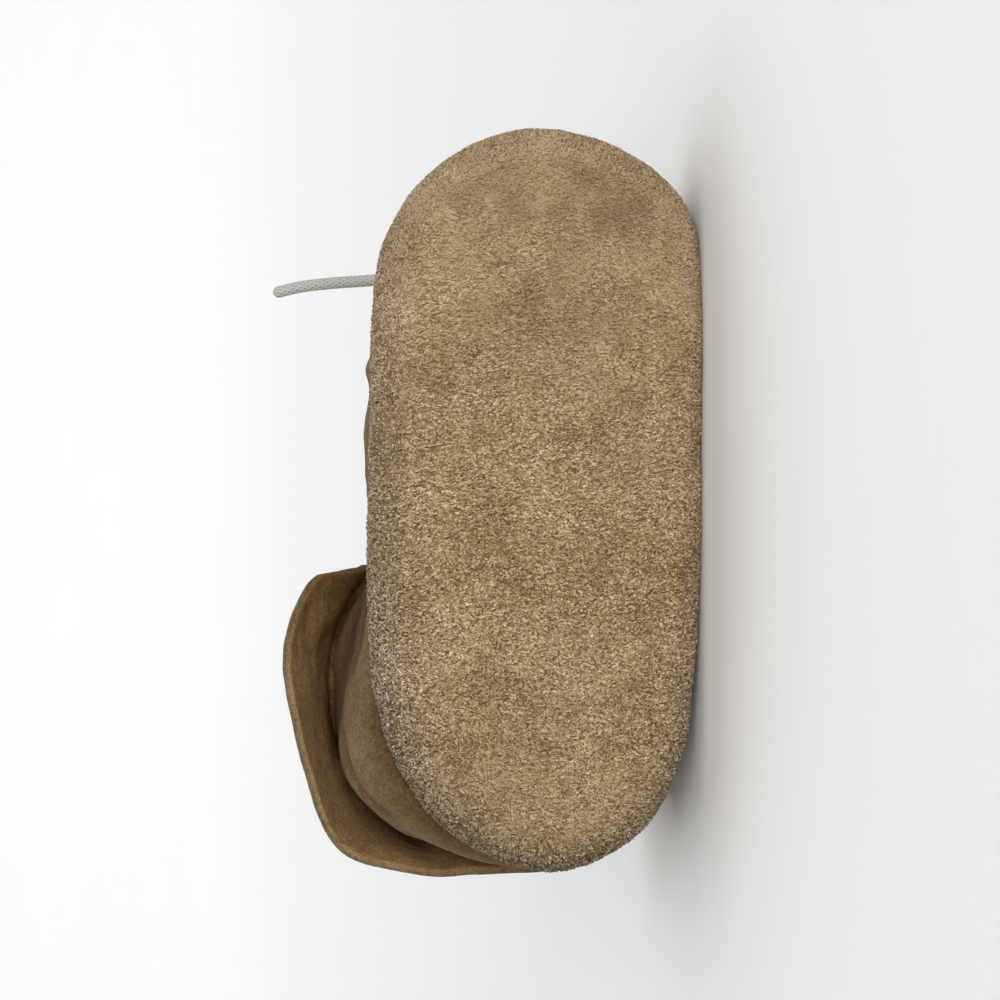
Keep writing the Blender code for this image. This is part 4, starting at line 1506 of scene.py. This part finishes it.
class MakeNap(bpy.types.Operator):
    """Makes the nap that covers the sole's tread and edge"""

    bl_idname = "moccasin.make_nap"
    bl_label = "Nap"

    def execute(self, context):
        nap = context.scene.moccasin_nap
        tree = nap_tree()
        finish = nap_lock()
        sizes = {"Density": nap.density * 1.0e6, "Width": nap.width, "Curl": nap.curl}
        sizes |= {"Clump": nap.clump, "Finish": finish}
        for bed in NAP_BEDS:
            sizes |= {"Length": nap.length * bed.length, "Arch": bed.arch, "Lift": bed.lift}
            sizes |= {"Scatter": bed.scatter, "Seed": bed.seed}
            mesh = repeated(bed.name, nap_bed(bed.name), tree, sizes)
            mesh.shade_smooth()
            fold_out(mesh)
            placed(bed.name, mesh, [finish])
        return {"FINISHED"}


def nap_bed(name):
    """The outer faces of the sole on which one stretch of nap grows."""
    form = bmesh.new()
    form.from_mesh(bpy.data.objects["sole_leather"].data)
    rim = form.verts.layers.float["rim"]

    def grows(face):
        if sum(point[rim] for point in face.verts) / len(face.verts) >= NAP_EDGE_RIM:
            bed = "nap_edge"
        else:
            bed = "nap_forefoot" if face.calc_center_median().x > NAP_HEEL_END else "nap_heel"
        return face.material_index == 0 and bed == name

    bmesh.ops.delete(form, geom=[face for face in form.faces if not grows(face)], context="FACES")
    mesh = bpy.data.meshes.new("nap_bed")
    form.to_mesh(mesh)
    form.free()
    return mesh


def fold_out(mesh):
    """Maps the nap for baking: the sole from below, with its turned-up edge folded out flat."""
    x, depth, z = points_of(mesh).T
    low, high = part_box("sole")
    across = np.stack([x, z], axis=-1) - ((low.x + high.x) / 2.0, FLOOR_REACH)
    middle = np.stack([np.clip(across[:, 0], MIDDLE_BACK, MIDDLE_FRONT), z * 0.0], axis=-1)
    flat = across + unit(across - middle) * (depth - low.y)[:, None]
    corners = np.zeros(len(mesh.loops), np.int32)
    mesh.loops.foreach_get("vertex_index", corners)
    flow = flat[corners] / (1.25 * SOLE_LENGTH) + 0.5
    mesh.uv_layers.new(name="OFBake").data.foreach_set("uv", flow.ravel().astype(np.float32))


class MakeInsole(bpy.types.Operator):
    """Makes the thin leather pad in the sole's tray"""

    bl_idname = "moccasin.make_insole"
    bl_label = "Insole"

    def execute(self, context):
        columns, rows = INSOLE_GRID
        stations = around_shoe(columns)
        inset = SOLE_EDGE_RADIUS + INSOLE_MARGIN
        top = SOLE_WALL + 1.3 * GAP + INSOLE_WALL
        shares = np.linspace(*INSOLE_SHARES, rows)
        grid = np.array([sole_ring(stations, share, inset, top) for share in shares])
        # The ball of the foot and the heel have pressed it in.
        ball = bump_at(grid[..., 0], 26.0 * MM, 16.0 * MM)
        heel = bump_at(grid[..., 0], -38.0 * MM, 12.0 * MM)
        grid[..., 2] += dented(grid, (14.0, 0.25, 7)) - 0.2 * MM * (ball + heel)
        # A wall thinner than its room keeps the pad's dents clear of the sole.
        mesh = sheet("insole_pad", grid, INSOLE_WALL * 0.75, facing=-1, closed=True, zipped=True)
        finish = shared(grain_lining)
        placed("insole_pad", mesh, [finish, finish], ["insole"])
        return {"FINISHED"}


class MakeUpper(bpy.types.Operator):
    """Makes the upper: heel, quarters and gathered toe in one wall, with four lace holes"""

    bl_idname = "moccasin.make_upper"
    bl_label = "Upper"

    def execute(self, context):
        stations = around_shoe(UPPER_GRID[0])
        shares = np.linspace(*UPPER_SHARES, UPPER_GRID[1])
        columns, rows = np.meshgrid(stations, shares)
        grid = upper_points(columns, rows)
        normals = grid_normals(grid, 1, True)
        relief, fold = upper_relief(grid, columns, rows)
        grid = grid + normals * relief[..., None]
        holes = []
        row = int(np.argmin(np.abs(shares - EYELET_SHARE)))
        for station in (LOWER_EYELET, UPPER_EYELET, 2 * TOE - LOWER_EYELET, 2 * TOE - UPPER_EYELET):
            column = int(np.argmin(np.abs(stations - station)))
            place, axis = grid[row, column], normals[row, column]
            holes.append(Hole(row + len(ROUND_EDGE_ANGLES), column, place, axis))
        values = upper_shades(grid, columns, rows, fold)
        mesh = sheet("upper_leather", grid, UPPER_WALL, closed=True, values=values, holes=holes)
        finishes = [shared(fine_suede), shared(grain_lining)]
        placed("upper_leather", mesh, finishes, ["upper"])
        return {"FINISHED"}


def upper_shades(grid, stations, shares, fold):
    """Where the upper is kept fresh by the cuff, and where painted shade darkens it: in its folds, at the
    collar under the cuff and low on the heel by the sole.
    """
    x = grid[..., 0]
    under_cuff = ramp(np.abs(from_station(stations, 0.0)), CUFF_FRONT - 0.2, CUFF_FRONT - 0.7)
    kept = ramp(shares, 0.62, 0.82) * under_cuff
    # Painted shade at the collar, where the cuff folds over it.
    collar = kept * ramp(shares, 0.84, 0.92) * (1.0 - 0.6 * ramp(x, *WIDE_MOUTH))
    # Painted shade low on the heel, by the sole.
    foot = 0.95 * ramp(x, -24.0 * MM, -32.0 * MM) * ramp(shares, 0.13, 0.0)
    return {"fold": np.maximum(np.maximum(fold, collar), foot), "kept": 0.8 * kept}


def seam_count(stations, pitch):
    """Counts the stitches along the apron's seam up to a station, and gives their true pitch."""
    line = apron_seam()
    run = run_along(upper_points(line, 1.0))
    pitch = run[-1] / round(run[-1] / pitch)
    return np.interp(stations, line, run) / pitch, pitch


def apron_seam():
    """Stations all along the apron's seam."""
    return np.linspace(*APRON_SEAM, APRON_SEAM_POINTS)


def upper_relief(grid, stations, shares):
    """Creases, gathers at the seams and the ridge of the heel seam, and where they fold in, which gets
    painted shade.
    """
    relief = crease_relief(grid, UPPER_CREASES)
    # Each gather is a trough between two stitches of the apron's seam. Their lengths differ.
    ahead = ramp(TOE - APRON_CORNER - np.abs(stations - TOE), 0.0, 1.2)
    count, _ = seam_count(stations, bpy.context.scene.moccasin_seams.apron_pitch)
    length = GATHER_LENGTH + GATHER_STRAY * np.sin(np.floor(count) * 2.4)
    gathers = np.clip(ahead * 2.0, 0.0, 1.0) * ramp(shares, 1.0 - length, 1.0) ** 1.2
    relief += GATHER_DEPTH * gathers * (np.abs(np.sin(math.pi * count)) ** 0.8 - 0.6)
    relief += SEAM_LIP * ahead * bump_at(shares, 1.0, 0.06)
    # How much painted shade darkens the creases and gathers.
    fold = ramp(-relief, 0.0, 1.1 * MM)
    # Small puckers over the sole's seam.
    puckers = np.cos(2.0 * math.pi * stations * PUCKERS_TO_STATION)
    relief += PUCKER_HEIGHT * bump_at(shares, 0.0, 0.09) * puckers
    for swell in UPPER_SWELLS:
        near = bump_at(from_station(stations, swell.station), 0.0, swell.width)
        relief += swell.height * MM * near * bump_at(shares, swell.share, swell.reach)
    # The heel seam is a ridge with a groove along its middle.
    heel = from_station(stations, 0.0)
    groove = 1.0 - 0.75 * bump_at(heel, 0.0, 0.035)
    relief += HEEL_SEAM_HEIGHT * bump_at(heel, 0.0, 0.16) * groove
    relief += dented(grid, (11.0, 0.45, 8), (3.0, 0.08, 9))
    return relief, fold


class MakeApron(bpy.types.Operator):
    """Makes the apron over the toes, crowned inside its gathered seam"""

    bl_idname = "moccasin.make_apron"
    bl_label = "Apron"

    def execute(self, context):
        seams = context.scene.moccasin_seams
        share = np.linspace(0.0, 1.0, APRON_GRID[0])[None, :]
        reach = np.linspace(*APRON_REACH, APRON_GRID[1])[:, None]
        station = APRON_CORNER + (TOE - APRON_CORNER) * reach
        outer = upper_points(station, 1.0)
        inner = upper_points(2 * TOE - station, 1.0)
        width = np.linalg.norm(inner - outer, axis=-1)
        margin = APRON_MARGIN / width
        place = margin + (1.0 - 2.0 * margin) * share
        grid = outer + (inner - outer) * place[..., None]
        grid[..., 0] -= GAP
        grid[..., 2] += APRON_CROWN * (1.0 - 0.6 * reach) * (1.0 - (2.0 * place - 1.0) ** 2)
        # Along the seam: a lip, a groove inside it, and a pull at each stitch.
        near = np.minimum(place, 1.0 - place) * width
        near = np.minimum(near, (1.0 - reach) * APRON_LENGTH)
        lip = bump_at(near, 0.4 * MM, 0.9 * MM)
        count, _ = seam_count(np.where(place < 0.5, station, 2 * TOE - station), seams.apron_pitch)
        pull = np.cos(math.pi * count) ** 4
        relief = 0.5 * MM * lip - 0.3 * MM * bump_at(near, 2.4 * MM, 1.2 * MM)
        relief -= 0.7 * MM * pull * bump_at(near, 1.4 * MM, 1.6 * MM)
        relief += crease_relief(grid, APRON_CREASES)
        # Painted shade in the apron's grooves and creases.
        fold = ramp(-relief, 0.0, 0.8 * MM)
        grid[..., 2] += relief + dented(grid, (9.0, 0.25, 12), (3.0, 0.06, 13))
        mesh = sheet("apron_leather", grid, APRON_WALL, facing=-1, values={"fold": fold})
        finish = shared(fine_suede)
        placed("apron_leather", mesh, [finish, finish], ["apron"])
        return {"FINISHED"}


class MakeTongue(bpy.types.Operator):
    """Makes the tongue, from under the apron up past the collar"""

    bl_idname = "moccasin.make_tongue"
    bl_label = "Tongue"

    def execute(self, context):
        side = np.linspace(*TONGUE_SIDES, TONGUE_GRID[0])[None, :]
        reach = len(TONGUE) - 1.0 - TONGUE_TIP * (1.0 - np.sqrt(1.0 - side**2))
        positions = np.linspace(*TONGUE_REACH, TONGUE_GRID[1])[:, None] * reach
        rows = TongueRow(*np.moveaxis(between_rows(TONGUE, positions), -1, 0))
        along = between_rows(TONGUE, positions + 0.05) - between_rows(TONGUE, positions - 0.05)
        outward = unit(np.stack([along[..., 2], along[..., 0] * 0.0, -along[..., 0]], axis=-1))
        grid = np.stack([rows.x, rows.y + side * rows.half_width, rows.z], axis=-1)
        grid -= outward * (rows.fold * side**2)[..., None]
        grid *= MM
        grid = raised(grid, dented(grid, (10.0, 0.3, 15), (3.0, 0.06, 16)))
        mesh = sheet("tongue_leather", grid, TONGUE_WALL)
        finishes = [shared(fine_suede), shared(grain_lining)]
        placed("tongue_leather", mesh, finishes, ["tongue"])
        return {"FINISHED"}


class MakeCuff(bpy.types.Operator):
    """Makes the fold-over ankle cuff that flares open at the heel"""

    bl_idname = "moccasin.make_cuff"
    bl_label = "Cuff"

    def execute(self, context):
        grid = cuff_surface(np.linspace(*CUFF_SIDES, CUFF_GRID[0]))
        flap = ramp(np.linspace(0.0, 1.0, CUFF_GRID[1]), 0.45, 1.0)[:, None]
        relief = crease_relief(grid, CUFF_CREASES) * np.clip(flap * 3.0, 0.0, 1.0)
        # Painted shade in the cuff's creases.
        fold = ramp(-relief, 0.0, 1.2 * MM)
        soft = dented(grid, (13.0, 0.45, 18)) * flap + dented(grid, (3.0, 0.08, 19))
        grid = raised(grid, relief + soft, facing=-1)
        # The flesh side also takes painted shade in its fold and at its ends.
        values = {"fold": fold, "deep": np.maximum(fold, cuff_shade(grid[..., 0], flap))}
        mesh = sheet("cuff_leather", grid, CUFF_WALL, facing=-1, values=values)
        finishes = [shared(fine_suede), cuff_flesh_side()]
        placed("cuff_leather", mesh, finishes, ["cuff"])
        return {"FINISHED"}


def cuff_shade(x, flap):
    """How much painted shade darkens the cuff's inner side: most in its fold, and at its front and back
    ends.
    """
    fold = 1.7 * ramp(flap, 0.5, 0.0) ** 1.5 * (1.0 - 0.7 * ramp(x, *WIDE_MOUTH))
    front = 0.75 * ramp(x, -28.0 * MM, -18.0 * MM)
    back = 0.3 * ramp(x, -50.0 * MM, -55.0 * MM)
    return np.maximum(fold, np.maximum(front, back))


def cuff_surface(turns):
    """The cuff's outer surface: up inside the collar, over it, and down outside to the rim."""
    stations = (turns * CUFF_FRONT) % len(STATIONS)
    collar = upper_points(stations, 1.0)
    along = upper_points(stations + 0.1, 1.0) - upper_points(stations - 0.1, 1.0)
    out = unit(np.stack([along[:, 1], -along[:, 0], along[:, 0] * 0.0], axis=-1))
    up = np.array([0.0, 0.0, 1.0])
    reach = UPPER_WALL / 2.0 + CUFF_CLEARANCE + CUFF_WALL
    middle = collar - out * UPPER_WALL / 2.0
    hook = [middle - out * reach - up * drop for drop in CUFF_HOOK_DROPS]
    for angle in CUFF_FOLD_ANGLES:
        bend = math.radians(angle)
        hook.append(middle + (out * math.cos(bend) + up * math.sin(bend)) * reach)

    # The flap falls from the fold and swings out to the rim, on a Bezier curve.
    rim = between_rows(CUFF_RIM, (turns + 1.0) / 2.0 * (len(CUFF_RIM) - 1)) * MM
    start = hook[-1]
    away = unit((rim - start) * (1.0, 1.0, 0.0))
    first = start + out * CUFF_FALL[0] - up * CUFF_FALL[1]
    second = rim - away * CUFF_SWING[0] + up * CUFF_SWING[1]
    corner = ramp(np.abs(turns), CUFF_CORNER_START, 1.0)
    length = 1.0 - CUFF_CORNER_RISE * (1.0 - np.sqrt(1.0 - corner**2))
    flap = []
    for step in range(1, CUFF_FLAP_ROWS + 1):
        share = (length * step / CUFF_FLAP_ROWS)[:, None]
        rest = 1.0 - share
        point = rest**3 * start + 3.0 * rest**2 * share * first
        point = point + 3.0 * rest * share**2 * second + share**3 * rim
        room = np.sum((point - upper_at(stations, point[:, 2])) * out, axis=-1)
        flap.append(point + out * np.maximum(CUFF_WALL + CUFF_CLEARANCE - room, 0.0)[:, None])
    rows = np.array(hook + flap)
    fine = np.linspace(0.0, len(rows) - 1.0, CUFF_GRID[1])
    return pressed(np.stack([between_rows(rows[:, k], fine) for k in range(rows.shape[1])], axis=1))


class MakeLaces(bpy.types.Operator):
    """Makes the laced part: through the eyelets, across the throat and over the tongue"""

    bl_idname = "moccasin.make_laces"
    bl_label = "Lacing"

    def execute(self, context):
        lace = context.scene.moccasin_lace
        path = smooth_path(LACE_ROUTE, step=0.3 * MM)
        mesh = cord_tube("lace_throat", path, lace.diameter, sides=20, end_cut=False)
        placed("lace_throat", mesh, [shared(lace_yarn)], ["lace_bar", "lace_cross"])
        return {"FINISHED"}


class MakeSeams(bpy.types.Operator):
    """Makes the stitches round the sole, the heel seam and the apron"""

    bl_idname = "moccasin.make_seams"
    bl_label = "Seams"

    def execute(self, context):
        seams = context.scene.moccasin_seams
        tree = stitch_tree()
        sew(tree, "side_stitches", side_stitch_line(), seams.pitch, seams.thread)
        sew(tree, "heel_stitches", heel_stitch_line(), seams.heel_pitch, seams.heel_thread)
        sew(tree, "heel_seam_stitches", heel_seam_line(), HEEL_SEAM_PITCH, seams.apron_thread)
        sew(tree, "apron_stitches", *apron_stitch_line(), seams.apron_thread)
        return {"FINISHED"}


def sew(tree, name, line, pitch, thread):
    """Whip stitches of thread along a seam line."""
    stitch = STITCHES[name]
    finish = shared(sewing_thread)
    sizes = {"Pitch": pitch, "Thread": thread, "Finish": finish}
    sizes |= {"Span": stitch.span * MM, "Height": stitch.height * MM, "Depth": stitch.depth * MM}
    sizes |= {"Slant": stitch.slant, "Stray": stitch.stray, "Seed": stitch.seed}
    placed(name, repeated(name, line, tree, sizes), [finish])


def side_stitch_line():
    """All round the sole's rim, where it meets the upper."""
    stations = around_shoe(SIDE_LINE_POINTS)
    ring = sole_ring(stations, 1.0, nap_room(stations) + 0.1 * MM, SOLE_RIM_HEIGHT + GAP / 2.0)
    outward = edge_outward(stations)
    return seam_line(ring - outward * 0.05 * MM, outward, closed=True)


def heel_stitch_line():
    """Low on the sole's rim, round the heel."""
    stations = np.linspace(*HEEL_STITCHING, HEEL_LINE_POINTS)
    ring = sole_ring(stations, 1.0, nap_room(stations) + 0.6 * MM, SOLE_RIM_HEIGHT - 2.2 * MM)
    outward = edge_outward(stations, -0.6)
    return seam_line(ring - outward * 0.1 * MM, outward)


def heel_seam_line():
    """Up the back of the heel."""
    shares = np.linspace(*HEEL_SEAM, HEEL_SEAM_POINTS)
    outward = upper_normals(0.0, shares)
    return seam_line(upper_points(0.0, shares) + outward * 0.5 * MM, outward)


def apron_stitch_line():
    """Round the apron, on the ridges between the gathers, with the pitch from stitch to stitch."""
    line = apron_seam()
    count, _ = seam_count(line, bpy.context.scene.moccasin_seams.apron_pitch)
    stations = np.interp(np.arange(round(count[-1]) + 1.0), count, line)
    points = upper_points(stations, UPPER_SHARES[1])
    shares = np.full((1, len(stations)), UPPER_SHARES[1])
    relief, _ = upper_relief(points[None], stations[None], shares)
    outward = upper_normals(stations, 0.97)
    points = points + outward * relief[0][:, None]
    outward = unit(outward + np.array([0.0, 0.0, 1.2]))
    points = points + outward * 0.85 * MM
    # A pitch just under the true one keeps the last stitch, which rounding could drop.
    pitch = 0.99 * np.mean(np.linalg.norm(np.diff(points, axis=0), axis=1))
    return seam_line(points, outward), float(pitch)


class MoccasinPanel(bpy.types.Panel):
    """Lists the moccasin's pieces and settings."""

    bl_idname = "VIEW3D_PT_moccasin"
    bl_label = "Baby Moccasin"
    bl_space_type = "VIEW_3D"
    bl_region_type = "UI"
    bl_category = "Moccasin"

    def draw(self, context):
        for operator in MAKERS:
            self.layout.operator(operator.bl_idname)
        for key, group in SETTINGS.items():
            box = self.layout.box()
            box.label(text=group.__doc__)
            for name in group.__annotations__:
                box.prop(getattr(context.scene, key), name)


SETTINGS = {
    "moccasin_colours": MoccasinColours,
    "moccasin_nap": MoccasinNap,
    "moccasin_seams": MoccasinSeams,
    "moccasin_lace": MoccasinLace,
    "moccasin_stage": MoccasinStage,
}
MAKERS = [
    MakeStage,
    MakeLaceEnd,
    MakeSole,
    MakeInsole,
    MakeUpper,
    MakeApron,
    MakeTongue,
    MakeCuff,
    MakeLaces,
    MakeSeams,
    MakeNap,
]


def register():
    for group in SETTINGS.values():
        bpy.utils.register_class(group)
    for maker in MAKERS:
        bpy.utils.register_class(maker)
    bpy.utils.register_class(MoccasinPanel)
    for key, group in SETTINGS.items():
        setattr(bpy.types.Scene, key, bpy.props.PointerProperty(type=group))


def unregister():
    for key in SETTINGS:
        delattr(bpy.types.Scene, key)
    bpy.utils.unregister_class(MoccasinPanel)
    for maker in reversed(MAKERS):
        bpy.utils.unregister_class(maker)
    for group in reversed(list(SETTINGS.values())):
        bpy.utils.unregister_class(group)


def main():
    """Registers the add-on and makes every piece in order."""
    register()
    for maker in MAKERS:
        family, action = maker.bl_idname.split(".")
        getattr(getattr(bpy.ops, family), action)()


if __name__ == "__main__":
    main()
